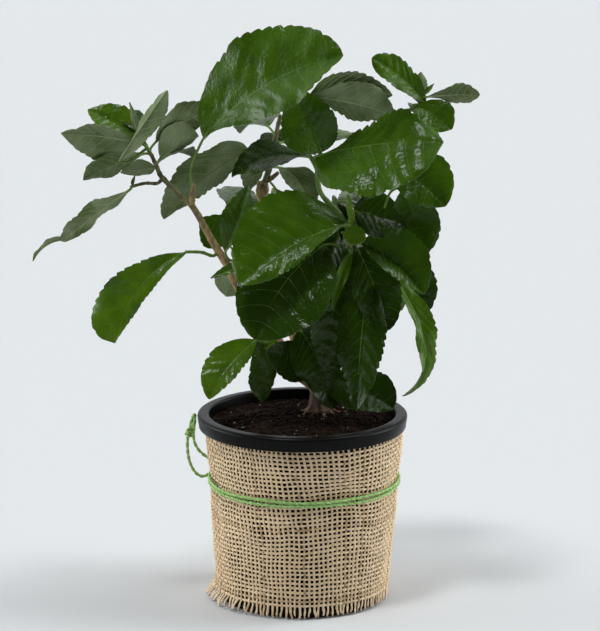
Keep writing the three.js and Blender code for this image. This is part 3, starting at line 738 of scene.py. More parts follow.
@dataclass(frozen=True)
class Pot:
    """The pot and the soil in it."""

    shape: PotShape = PotShape()
    soil: SoilShape = SoilShape()

    def corner(self, centre: Pair, start: float, end: float, radius: float) -> list[Pair]:
        """Points of a rounded corner in a profile.

        Args:
            centre: its centre, as radius and height.
            start: angle of its first point, from outwards towards up.
            end: angle of its last point.
            radius: of the corner.

        Returns:
            (radius, height) pairs.
        """
        turn = np.radians(np.linspace(start, end, self.shape.corner_points))
        return [(centre[0] + radius * math.cos(t), centre[1] + radius * math.sin(t)) for t in turn]

    def shell(self) -> bpy.types.Object:
        """A revolved shell with a rolled rim whose band hangs clear of the wall.

        Returns:
            The piece.
        """
        s = self.shape
        top, foot, lid = s.height, s.height - s.rim_depth, s.height - s.rim_wall
        band = s.rim_radius - s.rim_taper - s.rim_wall
        half = s.rim_wall / 2
        r = s.corner
        profile = [
            (0, 0),
            (s.foot_radius - r, 0),
            *self.corner((s.foot_radius - r, r), -80, 0, r),
            (s.wall_radius(foot), foot),
            (s.wall_radius(lid), lid),
            (band, lid),
            (band, foot + s.rim_gap),
            *self.corner((band + half, foot + half), 190, 350, half),
            *self.corner((s.rim_radius - r, top - r), 0, 90, r),
            *self.corner((s.rim_inner + s.rim_lip, top - s.rim_lip), 90, 180, s.rim_lip),
            (s.wall_radius(foot) - s.wall, foot),
            (s.foot_radius - s.wall, s.floor),
            (0, s.floor),
        ]
        piece = mesh_object("pot_shell", lathe(profile, s.segments), [PLASTIC.material()], Crease.TURNED)
        self.drill(piece)
        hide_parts("pot")
        return piece

    def drill(self, piece: bpy.types.Object) -> None:
        """Cuts the drain holes, upright cylinders on a ring, out of the floor.

        Args:
            piece: the pot's shell.
        """
        s = self.shape
        heading = 360 / s.drain_holes * (np.arange(s.drain_holes) + 0.5)
        centre = direction(heading)[:, None, None, :] * s.drain_ring
        levels = np.array([-s.floor, 2 * s.floor])[:, None]
        rings = upright(s.drain_radius, around(s.drain_sides), levels) + centre
        cutter = mesh_object("drain_cutter", loft(rings), [])
        cut = piece.modifiers.new("drain", "BOOLEAN")
        cut.operation = "DIFFERENCE"
        cut.solver = "EXACT"
        cut.object = cutter
        done = bpy.data.meshes.new_from_object(piece.evaluated_get(bpy.context.evaluated_depsgraph_get()))
        piece.modifiers.clear()
        piece.data = done
        bpy.data.objects.remove(cutter)

    def soil_height(self, x: np.ndarray, y: np.ndarray) -> np.ndarray:
        """Height of the soil: flat in the middle, falling to the edge, with two sizes of lumps.

        Args:
            x: across.
            y: depth.

        Returns:
            Heights with x's shape.
        """
        s = self.soil
        edge = self.shape.rim_inner - s.edge_inset
        fall = ramp(np.hypot(x, y), s.flat_radius, edge - s.flat_radius)
        lumps = layered_noise(np.stack([x, y, np.zeros_like(x)], axis=-1), s.lumps)
        return between((s.top, s.edge), fall) + s.lump * lumps

    def soil_top(self) -> bpy.types.Object:
        """The soil as a disc of rings whose height follows soil_height().

        Returns:
            The piece.
        """
        p, s = self.shape, self.soil
        turn = around(s.segments)
        radii = np.linspace(s.hub, p.rim_inner - s.rim_gap, s.rings)[::-1, None]
        x, y = radii * np.cos(turn), radii * np.sin(turn)
        top = np.stack([x, y, self.soil_height(x, y)], axis=-1)
        foot = p.floor + s.floor_gap
        low = upright(p.wall_radius(foot) - p.wall - s.wall_gap, turn, foot)
        rings = np.concatenate([low[None], top])
        piece = mesh_object("soil_top", loft(rings), [SOIL.material()], Crease.SOFT)
        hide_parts("soil")
        return piece

    def grains(self, kind: Grains) -> bpy.types.Object:
        """Small uneven lumps that lie on the soil: stones of three rings with jittered corners.

        Args:
            kind: which of them.

        Returns:
            The piece.
        """
        rng = np.random.default_rng(kind.seed)
        r = (self.shape.rim_inner - kind.inset) * np.sqrt(rng.random(kind.count))
        a = 2 * np.pi * rng.random(kind.count)
        x, y = r * np.cos(a), r * np.sin(a)
        radius = between(kind.size, rng.random(kind.count) ** kind.smaller)
        centre = np.stack([x, y, self.soil_height(x, y) + kind.proud * radius], axis=-1)
        level = np.radians(kind.levels)[:, None]
        shape = upright(np.cos(level), around(kind.sides), kind.flat * np.sin(level))
        jitter = 1 + kind.uneven * (rng.random((kind.count, len(level), kind.sides, 1)) - 0.5)
        rings = centre[:, None, None] + radius[:, None, None, None] * shape * jitter
        piece = mesh_object(kind.name, loft(rings), [kind.finish.material()], Crease.STONE)
        return piece

    def make(self) -> list[bpy.types.Object]:
        """Makes all of it, and gives the pieces."""
        return [self.shell(), self.soil_top()] + [self.grains(kind) for kind in GRAINS]


# ------------------------------------------------------------------ burlap and twine


@dataclass(frozen=True)
class ClothShape:
    """Sizes of the burlap as a whole, as in the part's source.

    Its waves are height, number round and turn in degrees. Its hem curls out at the left.
    """

    bottom: float = 0.3
    top: float = 136.5
    thickness: float = 2
    stand_off: float = 1.7
    waves: Layers = ((0.5, 3, 40), (0.3, 7, 0))
    flare: float = 7.5
    flare_heading: float = 187
    flare_spread: float = 42
    flare_height: float = 24
    pinch: float = 1.5
    pinch_rise: float = 2
    pinch_spread: float = 9
    tuck: float = 1.3
    tuck_from: float = 128
    tuck_run: float = 6
    shift: float = 1.1
    shift_from: float = 40
    shift_run: float = 50


@dataclass(frozen=True)
class WeaveShape:
    """Sizes of the weave, and how its warps lean at the front's top and its wefts rise with them."""

    warps: int = 118
    first_weft: float = 11
    weft_pitch: float = 3.5
    width: float = 0.88
    depth: float = 0.5
    sides: int = 5
    shades: Vec = (0.5, 0.36, 0.14)
    seed: int = 7
    girth_radius: float = 70
    lean: float = -8.5
    lean_heading: float = -94
    lean_spread: float = 38
    lean_from: float = 48
    lean_run: float = 86
    lean_power: float = 1.5
    lean_noise: Layers = ((0.9, 20, 31), (0.6, 7, 33))
    rise: float = 2.6
    rise_spread: float = 50
    rise_shift: float = 12
    rise_reach: float = 60
    rise_turn: float = 2.6
    rise_middle: float = 84
    rise_height: float = 34
    sag_noise: Layers = ((1.4, 30, 32), (0.75, 9, 34))
    top_hold: float = 12
    hem_hold: float = 6
    hem_least: float = 0.25


@dataclass(frozen=True)
class Threads:
    """One set of the weave's threads: the face it starts on, and how its thickness wanders."""

    face: int
    slub: float
    slub_cell: float
    slub_seed: int
    stretch: Vec
    uneven: float
    closed: bool


WARPS = Threads(1, 0.24, 6, 11, (1, 1, 0.5), 0.16, False)
WEFTS = Threads(-1, 0.28, 7, 12, (1, 1, 1), 0.2, True)


@dataclass(frozen=True)
class FringeShape:
    """Sizes of the loose warp ends below the last weft, which gather in bundles at the left."""

    seed: int = 17
    rings: int = 12
    sides: int = 6
    start: float = -0.3
    past_flare: float = 8
    spread: float = 34
    bundle: float = 3.6 * 1.1
    bundle_pitch: float = 12.5
    ends: Pair = (0.9, 3.1)
    curl_from: float = 0.72
    curl: float = 12
    lift: Pair = (0.5, 2.7)
    splay: Pair = (0.3, 1.6)
    splay_left: float = 2.4
    splay_turn: float = 2.3
    sway: float = 2.6
    ripple: float = 0.5
    sink: float = 1.2
    lowest: float = 0.75
    girth_radius: float = 70
    width: Pair = (0.72, 1.02)
    width_ripple: float = 0.15
    tip: float = 0.35
    flat: float = 0.62
    shades: Vec = (0.6, 0.3, 0.1)


@dataclass(frozen=True)
class FibreShape:
    """Sizes of the fine hairs that stand off the weave."""

    seed: int = 23
    count: int = 1100
    heights: Pair = (3, 129)
    sink: float = 0.7
    length: Pair = (1.5, 6)
    stand: Pair = (0.45, 0.95)
    stray: Vec = (0.6, 0.6, 0.8)
    bend: float = 0.35
    lowest: float = 0.5
    radius: float = 0.11
    tip: float = 0.7
    rings: int = 5
    sides: int = 3
    facing_rise: float = 10


@dataclass(frozen=True)
class TwineShape:
    """Sizes of the twine, as in the part's source, and of its two plies."""

    radius: float = 1.3
    height: float = 92
    spacing: float = 2.9
    gap: float = 0.3
    sink: float = 0.5
    lay: float = 6.5
    sides: int = 12
    waist: float = 0.44
    ply_power: float = 0.8
    band_steps: int = 720
    band_radius: float = 75
    drift: float = 0.35
    drift_waves: int = 5
    loop_steps: int = 150
    loop: tuple[Vec, ...] = (
        (-72.6, 24, 89.1),
        (-74.6, 22.5, 88.3),
        (-77.6, 19.5, 88.8),
        (-81, 15.5, 91.8),
        (-84.1, 11, 97.2),
        (-86.4, 7, 104),
        (-87.5, 3.5, 111.3),
        (-87.8, 0.5, 118.4),
        (-87.4, -1.7, 125.3),
        (-86.3, -3.2, 129.6),
        (-85.5, -3.5, 134.8),
        (-84, -1.4, 139.6),
        (-82.6, 3.6, 141.7),
        (-82.1, 8.6, 139.6),
        (-82.4, 10.8, 134.6),
        (-83.3, 12.3, 126.3),
        (-83.2, 13.3, 119.7),
        (-81.2, 15, 113.4),
        (-77.4, 18, 107.7),
        (-73.2, 21.9, 103.3),
    )


@dataclass(frozen=True)
class KnotShape:
    """Sizes of the knot on the loop: its turns, and the tail that leaves it."""

    heights: Pair = (127.5, 135.5)
    turns: float = 3.5
    steps: int = 70
    clear: float = 0.75
    bulge: float = 0.35
    bulge_waves: float = 2.2
    radius: float = 0.95
    tail: Vec = (2.6, -1.2, 5.5)
    tail_bow: Vec = (-1.2, -0.6, 0)
    tail_steps: int = 15
    whole_steps: int = 110
    facing: Vec = (0.3, 1.0, 0.2)


@dataclass(frozen=True)
class Wrap:
    """The burlap round the pot and the twine that ties it."""

    pot: PotShape = PotShape()
    cloth: ClothShape = ClothShape()
    threads: WeaveShape = WeaveShape()
    ends: FringeShape = FringeShape()
    hairs: FibreShape = FibreShape()
    twine: TwineShape = TwineShape()
    wraps: KnotShape = KnotShape()

    def outside(self, height: Values, heading: Values) -> np.ndarray:
        """Outer radius of the cloth: the wall's, slow waves and a shift to the right, plus the hem's curl,
        less the twine's pinch and the tuck under the rim.

        Args:
            height: above the underside.
            heading: degrees round.

        Returns:
            Radii, broadcast from both.
        """
        c = self.cloth
        a = np.radians(heading)
        wave = sum(size * np.sin(count * a + math.radians(turn)) for size, count, turn in c.waves)
        lift = np.maximum(0, 1 - (height - c.bottom) / c.flare_height)
        curl = c.flare * lift**2 * bell(turned_from(heading, c.flare_heading), c.flare_spread)
        waist = c.pinch * bell(height - self.twine.height - c.pinch_rise, c.pinch_spread)
        tuck = c.tuck * ramp(height, c.tuck_from, c.tuck_run)
        right = c.shift * np.cos(a) * ramp(height, c.shift_from, c.shift_run)
        return self.pot.wall_radius(height) + c.stand_off + c.thickness + wave + curl + right - waist - tuck

    def weave_point(
        self, warp: np.ndarray, weft: np.ndarray, proud: np.ndarray
    ) -> tuple[np.ndarray, np.ndarray]:
        """Maps a place in the weave to space. Warps lean near the front's top, and wefts rise with them.

        Args:
            warp: number along the wefts, from 0 to warps.
            weft: number up the warps.
            proud: how far the thread stands out of the cloth's middle.

        Returns:
            Points, and the outward direction at each.
        """
        c, w = self.cloth, self.threads
        heading = 360 * warp / w.warps
        height = w.first_weft + w.weft_pitch * weft
        at = upright(w.girth_radius, np.radians(heading), height)
        up = ramp(height, w.lean_from, w.lean_run) ** w.lean_power
        lean = w.lean * bell(turned_from(heading, w.lean_heading), w.lean_spread) * up
        lean = lean + layered_noise(at, w.lean_noise)
        side = turned_from(heading, -90)
        swing = np.clip(side + w.rise_shift, -w.rise_reach, w.rise_reach) * w.rise_turn
        rise = w.rise * bell(side, w.rise_spread) * np.sin(np.radians(swing))
        rise = rise * bell(height - w.rise_middle, w.rise_height)
        sag = layered_noise(at, w.sag_noise) + rise
        sag = sag * ramp(c.top - height, 0, w.top_hold) * ramp(height, w.first_weft, w.hem_hold, w.hem_least)
        out = direction(heading + lean)
        z = height + sag
        r = self.outside(z, heading + lean) - c.thickness / 2 + proud
        return np.concatenate([r[..., None] * out[..., :2], z[..., None]], axis=-1), out

    def lay(self, kind: Threads, warp: np.ndarray, weft: np.ndarray, rng: np.random.Generator) -> Surface:
        """Lays one set of threads, each passing over one of the other set and under the next.

        Args:
            kind: which set.
            warp: places along the wefts, broadcast with weft to one row per thread.
            weft: places up the warps.
            rng: draws the threads' thickness and shade.

        Returns:
            The threads.
        """
        w = self.threads
        i, j = np.broadcast_arrays(warp, weft)
        points, out = self.weave_point(i, j, kind.face * w.depth * np.cos(np.pi * (i + j)))
        slub = kind.slub * lattice_noise(points * kind.stretch, kind.slub_cell, kind.slub_seed)
        width = w.width * (1 + slub + kind.uneven * (rng.random((len(i), 1)) - 0.5))
        shades = rng.choice(len(JUTE), len(i), p=w.shades)
        return tube(points, width, w.sides, out, w.depth, shades, ring_closed=kind.closed)

    def weave(self, jute: list[bpy.types.Material]) -> bpy.types.Object:
        """Warps up and wefts round, as one woven piece.

        Args:
            jute: the thread finishes.

        Returns:
            The piece.
        """
        w = self.threads
        rng = np.random.default_rng(w.seed)
        wefts = int((self.cloth.top - w.first_weft) / w.weft_pitch)
        up = np.linspace(-0.5, wefts + 0.5, 2 * wefts + 3)[None, :]
        warps = self.lay(WARPS, np.arange(w.warps)[:, None], up, rng)
        wefts_round = self.lay(WEFTS, np.arange(2 * w.warps)[None, :] / 2, np.arange(wefts + 1)[:, None], rng)
        return mesh_object("burlap_weave", join([warps, wefts_round]), jute)

    def fringe(self, jute: list[bpy.types.Material]) -> bpy.types.Object:
        """Loose warp ends below the last weft. On the left they gather in bundles that curl out and under.

        Args:
            jute: the thread finishes.

        Returns:
            The piece.
        """
        e = self.ends
        rng = np.random.default_rng(e.seed)
        count = self.threads.warps
        start, _ = self.weave_point(np.arange(count).astype(float), np.full(count, e.start), np.zeros(count))
        heading = np.degrees(np.arctan2(start[:, 1], start[:, 0]))
        s = np.linspace(0, 1, e.rings)[None, :]
        off = turned_from(heading, self.cloth.flare_heading + e.past_flare)
        near = bell(off, e.spread)
        bundle = -near * e.bundle * np.sin(np.radians(off * 360 / e.bundle_pitch))
        low = between(e.ends, rng.random(count) ** 2)
        z = between((start[:, 2:], low[:, None]), s)
        lift = near * between(e.lift, rng.random(count))
        z = z + lift[:, None] * np.maximum(s - e.curl_from, 0) ** 2 * e.curl
        splay = between(e.splay, rng.random(count) ** 2) + e.splay_left * near
        sway = ((rng.random(count) - 0.5) * e.sway)[:, None] * s**1.5 + bundle[:, None] * s
        sway = sway + e.ripple * np.sin(5 * s + 6.3 * rng.random((count, 1))) * s
        r = self.outside(z, heading[:, None]) - e.sink + splay[:, None] * np.sin(s * e.splay_turn)
        a = np.radians(heading[:, None] + np.degrees(sway / e.girth_radius))
        paths = upright(r, a, np.maximum(z, e.lowest))
        width = between(e.width, rng.random((count, 1)))
        width = width * (1 + e.width_ripple * np.sin(9 * s + 5 * rng.random((count, 1)))) * (1 - e.tip * s**4)
        shades = rng.choice(len(JUTE), count, p=e.shades)
        made = tube(paths, width, e.sides, direction(heading)[:, None], e.flat * width, shades)
        return mesh_object("burlap_fringe", made, jute)

    def fibres(self, jute: list[bpy.types.Material]) -> bpy.types.Object:
        """Fine hairs that stand off the weave, and a few long ones.

        Args:
            jute: the thread finishes.

        Returns:
            The piece.
        """
        f = self.hairs
        rng = np.random.default_rng(f.seed)
        heading, z = 360 * rng.random(f.count), between(f.heights, rng.random(f.count))
        out = direction(heading)
        start = upright(self.outside(z, heading) - f.sink, np.radians(heading), z)
        length = between(f.length, rng.random(f.count) ** 4)[:, None, None]
        stand = out * between(f.stand, rng.random((f.count, 1)))
        way = unit(stand + rng.normal(size=(f.count, 3)) * f.stray)
        s = np.linspace(0, 1, f.rings)[None, :, None]
        bend = rng.normal(size=(f.count, 1, 3)) * f.bend
        paths = start[:, None] + length * (way[:, None] * s + bend * s**2)
        paths[..., 2] = np.maximum(paths[..., 2], f.lowest)
        facing = direction(heading + 90, f.facing_rise)[:, None]
        made = tube(paths, f.radius * (1 - f.tip * s[..., 0]), f.sides, facing)
        return mesh_object("burlap_fibres", made, jute[:1])

    def ply(self, run: np.ndarray) -> np.ndarray:
        """Cross-section of two-ply twine: two lobes that turn along its length.

        Args:
            run: length along the twine at each ring.

        Returns:
            Scale of the oval's points, of shape (n, sides).
        """
        t = self.twine
        lobe = np.abs(np.cos(around(t.sides)[None, :] - np.pi * run[:, None] / t.lay))
        return t.waist + (1 - t.waist) * lobe**t.ply_power

    def strand(self, name: str, height: float, node: str) -> bpy.types.Object:
        """One strand of the doubled band round the pot.

        Args:
            name: the piece's name.
            height: of its middle.
            node: the solid it replaces.

        Returns:
            The piece.
        """
        t = self.twine
        heading = np.arange(t.band_steps) * 360 / t.band_steps
        drift = t.drift * np.sin(np.radians(heading) * t.drift_waves + height)
        r = self.outside(height, heading) + t.gap + t.radius - t.sink
        path = upright(r, np.radians(heading), height + drift)
        lays = round(2 * np.pi * t.band_radius / (2 * t.lay))
        run = heading / 360 * lays * 2 * t.lay
        made = tube(path, t.radius, t.sides, UP, ring_closed=True, profile=self.ply(run))
        piece = mesh_object(name, made, [TWINE.material()], Crease.SOFT)
        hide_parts(node)
        return piece

    def loop(self) -> list[bpy.types.Object]:
        """The twine's loose end: a slack loop from the band up past the rim and back to the cloth.

        Returns:
            The loop and the knot on it.
        """
        t = self.twine
        path = curve_through(t.loop, t.loop_steps)
        length = float(run_along(path)[-1])
        run = np.linspace(0, 1, t.loop_steps + 1) * length
        made = tube(path, t.radius, t.sides, BACK, profile=self.ply(run))
        piece = mesh_object("twine_end", made, [TWINE.material()], Crease.SOFT)
        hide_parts("twine_loop")
        knot = self.knot(path)
        return [piece, knot]

    def knot(self, path: np.ndarray) -> bpy.types.Object:
        """A knot on the loop: a few turns of twine wound round it, and a short tail that bows.

        Args:
            path: the loop's centre line.

        Returns:
            The piece.
        """
        t, k = self.twine, self.wraps
        rising = path[: t.loop_steps // 2, 2]
        start, end = (int(np.argmin(np.abs(rising - height))) for height in k.heights)
        core = even(path[start : end + 1], k.steps)
        along = unit(np.gradient(core, axis=0))
        across = unit(np.cross(along, BACK))
        out = np.cross(across, along)
        turn = 2 * np.pi * k.turns * np.linspace(0, 1, k.steps + 1)[:, None]
        reach = t.radius + k.clear + k.bulge * np.sin(k.bulge_waves * turn)
        wound = core + reach * (np.cos(turn) * across + np.sin(turn) * out)
        s = np.linspace(0, 1, k.tail_steps + 1)[1:, None]
        tail = wound[-1] + s * k.tail + np.sin(3 * s) * k.tail_bow
        line = even(np.vstack([wound, tail]), k.whole_steps)
        run = np.linspace(0, 1, k.whole_steps + 1) * run_along(line)[-1]
        made = tube(line, k.radius, t.sides, np.array(k.facing), profile=self.ply(run))
        piece = mesh_object("twine_knot", made, [TWINE.material()], Crease.SOFT)
        return piece

    def make(self) -> list[bpy.types.Object]:
        """The loose twine is made by loop().

        Returns:
            The pieces.
        """
        jute = [finish.material() for finish in JUTE]
        cloth = [self.weave(jute), self.fringe(jute), self.fibres(jute)]
        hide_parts("burlap_wrap")
        t = self.twine
        return cloth + [
            self.strand("twine_upper", t.height + t.spacing / 2, "twine_band_upper"),
            self.strand("twine_lower", t.height - t.spacing / 2, "twine_band_lower"),
        ]


# ------------------------------------------------------------------ trunk and boughs

LIMB_STEPS = 200


@dataclass(frozen=True)
class Bough:
    """One tapering limb: the places it passes, its first and last radius, and its bark."""

    name: str
    places: tuple[Vec, ...]
    radii: Pair
    finish: BarkFinish = BARK


BOUGHS = (
    Bough(
        "bough_left",
        (
            (14, 17.5, 151), (8, 17.3, 162), (-1, 16.6, 170), (-23, 10, 204), (-47.5, 2, 240.5),
            (-56, 0, 258.5), (-68, -2, 278.5), (-83.3, 0, 305.5), (-93.2, 1, 314), (-106, 3, 327),
        ),
        (5, 1.9),
        BARK_LEFT,
    ),
    Bough(
        "bough_centre",
        (
            (13.5, 18, 151), (11.5, 21.5, 163), (6.5, 25.5, 173), (-2, 30, 186), (-14, 35, 224),
            (-24.5, 32, 264), (-29, 28, 292), (-30.7, 26, 311),
        ),
        (4.4, 3.6),
    ),
    Bough(
        "bough_right",
        (
            (13, 17, 151), (16, 13.5, 165), (18, 10, 178), (18.6, 8, 191.7), (23.6, 2, 224.7), (31, -2, 257),
            (36, -3, 281),
        ),
        (4.8, 2.8),
    ),
    Bough(
        "bough_right_top",
        (
            (38.5, 1.5, 278), (42.4, 6, 288.6), (48.5, 16, 315), (59.2, 20, 345), (71.5, 14, 368.5),
            (78.4, 9, 375.3),
        ),
        (2.6, 1.8),
        BARK_YOUNG,
    ),
    Bough(
        "bough_back",
        ((13.5, 18, 151), (17, 23.5, 164), (24, 33, 182), (33, 44, 215), (38, 52, 246)),
        (4, 2.4),
    ),
)


@dataclass(frozen=True)
class Stub:
    """What is left of a pruned limb: the places it passes, and its radius at foot, middle and cut end."""

    places: tuple[Vec, ...]
    radii: tuple[float, float, float]


STUBS = (
    Stub(((-30, 26.6, 303), (-30.4, 26.2, 311), (-30, 25.6, 318.5)), (3.5, 5.1, 4.2)),
    Stub(((-27.5, 26, 319), (-22, 25.6, 322.5), (-18, 25.2, 326)), (1.9, 1.7, 1.3)),
    Stub(((-83.2, -0.6, 306), (-82.6, -1.6, 315), (-81.8, -2.2, 322.5)), (2.4, 1.9, 1.3)),
    Stub(((12.5, 12, 158), (10.5, 6, 161), (9.6, 2.5, 164.5)), (2.6, 2.1, 1.8)),
)


@dataclass(frozen=True)
class TrunkShape:
    """Sizes of the trunk, as in the part's source, and of its rounded top.

    Each bend is how far the trunk has moved to the right and back at a share of its rise.
    """

    foot: Pair = (13, 16)
    foot_sink: float = 2
    foot_gap: float = 0.3
    bend: tuple[Vec, ...] = ((-0.2, 0.1, 0.4), (-0.6, 0.5, 1))
    fork_height: float = 162
    foot_radius: float = 7.6
    fork_radius: float = 6
    flare: float = 2.6
    flare_height: float = 7
    lobes: int = 5
    lobe_depth: float = 0.35
    crown_from: float = 0.82
    crown_run: float = 0.22
    crown_least: float = 0.05
    steps: int = 60
    sides: int = 48


@dataclass(frozen=True)
class BarkShape:
    """Relief of the bark, as shares of a limb's radius, and the leaf scars at even steps along it."""

    ridge: Vec = (0.06, 1.6, 41)
    grain: Vec = (0.05, 3.2, 42)
    grain_stretch: float = 3
    lengthwise: float = 0.3
    scar: float = 0.16
    scar_pitch: float = 19
    scar_start: float = 5
    scar_width: float = math.sqrt(3)
    facing: Vec = (0.15, 1.0, 0.1)
    bough_step: float = 1.1
    bough_sides: int = 24
    stub_steps: int = 22
    stub_sides: int = 18
    stub_middle: float = 0.55
    stub_lip: float = 0.86
    stub_lip_from: float = 0.97


@dataclass(frozen=True)
class RootShape:
    """Sizes of the roots that leave the trunk's foot, wander over the soil and dive into it."""

    count: int = 14
    seed: int = 3
    start: float = 4
    reach: Pair = (7, 18)
    first: float = -170
    uneven: float = 0.6
    wander: float = 26
    inset: float = 6
    lift: Pair = (4, 10)
    proud: float = 0.8
    dive: float = 3.2
    width: Pair = (2.5, 0.6)
    spread: Pair = (0.6, 1.1)
    knots: Vec = (0.2, 4, 9)
    steps: int = 22
    sides: int = 8


@dataclass(frozen=True)
class Wood:
    """Trunk and boughs with the bark's relief, and the roots that run over the soil."""

    ground: Pot = Pot()
    shape: TrunkShape = TrunkShape()
    skin: BarkShape = BarkShape()
    root: RootShape = RootShape()

    def bark(self, path: np.ndarray, radius: np.ndarray, sides: int) -> Surface:
        """A limb whose skin has long ridges, fine grain and a low ring at each old leaf scar.

        Args:
            path: centres, of shape (n, 3).
            radius: at each centre, of shape (n,) or (n, sides).
            sides: points round.

        Returns:
            The closed surface.
        """
        k = self.skin
        turn = around(sides)
        run = run_along(path)[:, None]
        wide = np.broadcast_to(radius if radius.ndim == 2 else radius[:, None], (len(path), sides))
        skin = upright(wide, turn, run * k.lengthwise)
        relief = layered_noise(skin, (k.ridge,)) + layered_noise(skin * (1, 1, k.grain_stretch), (k.grain,))
        off = (run + k.scar_start) % k.scar_pitch - k.scar_pitch / 2
        scar = bell(off, k.scar_width) * (0.5 + 0.5 * np.cos(turn - run))
        scale = 1 + relief + k.scar * scar
        return tube(path, 1.0, sides, np.array(k.facing), profile=wide * scale)

    def trunk(self) -> bpy.types.Object:
        """The trunk from its foot on the soil to its fork, with a lobed flare and a rounded top.

        Returns:
            The piece.
        """
        s = self.shape
        x, y = s.foot
        foot = self.ground.soil.top + s.foot_gap
        rise = s.fork_height - foot
        places = [(x, y, foot - s.foot_sink)]
        places += [(x + right, y + back, foot + rise * share) for right, back, share in s.bend]
        t = np.linspace(0, 1, s.steps + 1)[:, None]
        height = np.maximum(0, t * (rise + s.foot_sink) - s.foot_sink)
        lobes = 1 + s.lobe_depth * np.cos(s.lobes * around(s.sides))
        spread = s.flare * np.exp(-height / s.flare_height) * lobes
        radius = between((s.foot_radius, s.fork_radius), t) + spread
        top = np.sqrt(np.maximum(1 - ((t - s.crown_from) / s.crown_run) ** 2, s.crown_least))
        skin = self.bark(curve_through(places, s.steps), radius * np.where(t > s.crown_from, top, 1), s.sides)
        # Its bark stays dark from the soil to the fork: painted shade for the foliage's shadow, over a
        # reddish foot.
        piece = mesh_object("trunk_bark", skin, [BARK_FOOT_PAINTED_SHADE.material()], Crease.SOFT)
        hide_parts("trunk")
        return piece

    def bough(self, shape: Bough) -> bpy.types.Object:
        """One bough, tapering evenly along its length.

        Args:
            shape: the bough.

        Returns:
            The piece.
        """
        length = run_along(curve_through(shape.places, LIMB_STEPS))[-1]
        steps = int(length / self.skin.bough_step)
        radius = between(shape.radii, np.linspace(0, 1, steps + 1))
        skin = self.bark(curve_through(shape.places, steps), radius, self.skin.bough_sides)
        piece = mesh_object(shape.name + "_bark", skin, [shape.finish.material()], Crease.SOFT)
        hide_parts(shape.name)
        return piece

    def stubs(self) -> bpy.types.Object:
        """Pruned ends: each swells from its foot to its middle and ends in a flat cut with a rounded lip.

        Returns:
            The piece.
        """
        k = self.skin
        t = np.linspace(0, 1, k.stub_steps + 1)
        lip = np.where(t > k.stub_lip_from, k.stub_lip, 1)
        made = [
            self.bark(
                curve_through(stub.places, k.stub_steps),
                np.interp(t, (0, k.stub_middle, 1), stub.radii) * lip,
                k.stub_sides,
            )
            for stub in STUBS
        ]
        piece = mesh_object("pruned_stubs", join(made), [BARK_STUB.material()], Crease.CUT)
        return piece

    def roots(self) -> bpy.types.Object:
        """Thin roots that leave the trunk's foot, wander over the soil and dive into it.

        Returns:
            The piece.
        """
        k = self.root
        n = k.count
        rng = np.random.default_rng(k.seed)
        turn = 360 * (np.arange(n) + k.uneven * rng.random(n)) / n + k.first
        reach = between(k.reach, rng.random(n))[:, None]
        t = np.linspace(0, 1, k.steps)[None, :]
        heading = np.radians(turn[:, None] + k.wander * np.sin(3 * t + 6 * rng.random((n, 1))) * t)
        r = k.start + reach * t
        x = self.shape.foot[0] + r * np.cos(heading)
        y = self.shape.foot[1] + r * np.sin(heading)
        keep = np.minimum(1, (self.ground.shape.rim_inner - k.inset) / np.hypot(x, y))
        x, y = x * keep, y * keep
        lift = between(k.lift, rng.random((n, 1))) * (1 - t) ** 4
        z = self.ground.soil_height(x, y) + lift + k.proud - k.dive * t**3
        paths = np.stack([x, y, z], axis=-1)
        width = between(k.width, t**0.6) * between(k.spread, rng.random((n, 1)))
        width = width * (1 + layered_noise(paths, (k.knots,)))
        piece = mesh_object("surface_roots", tube(paths, width, k.sides, UP), [ROOT.material()])
        return piece

    def make(self) -> list[bpy.types.Object]:
        """Makes all of it, and gives the pieces."""
        return [self.trunk(), self.roots(), self.stubs()] + [self.bough(shape) for shape in BOUGHS]


# ------------------------------------------------------------------ leaves

MIDRIB_STEPS = 96
NARROWEST_HALF = 0.6


class Green(Enum):
    """Which of the greens a blade's upper face takes."""

    # The first green is darker: leaves by rule take it in turn with the others, and placed leaves in shade
    # take it as painted shade.
    DEEP_AND_PAINTED_SHADE = 0
    MID = 1
    FRESH = 2


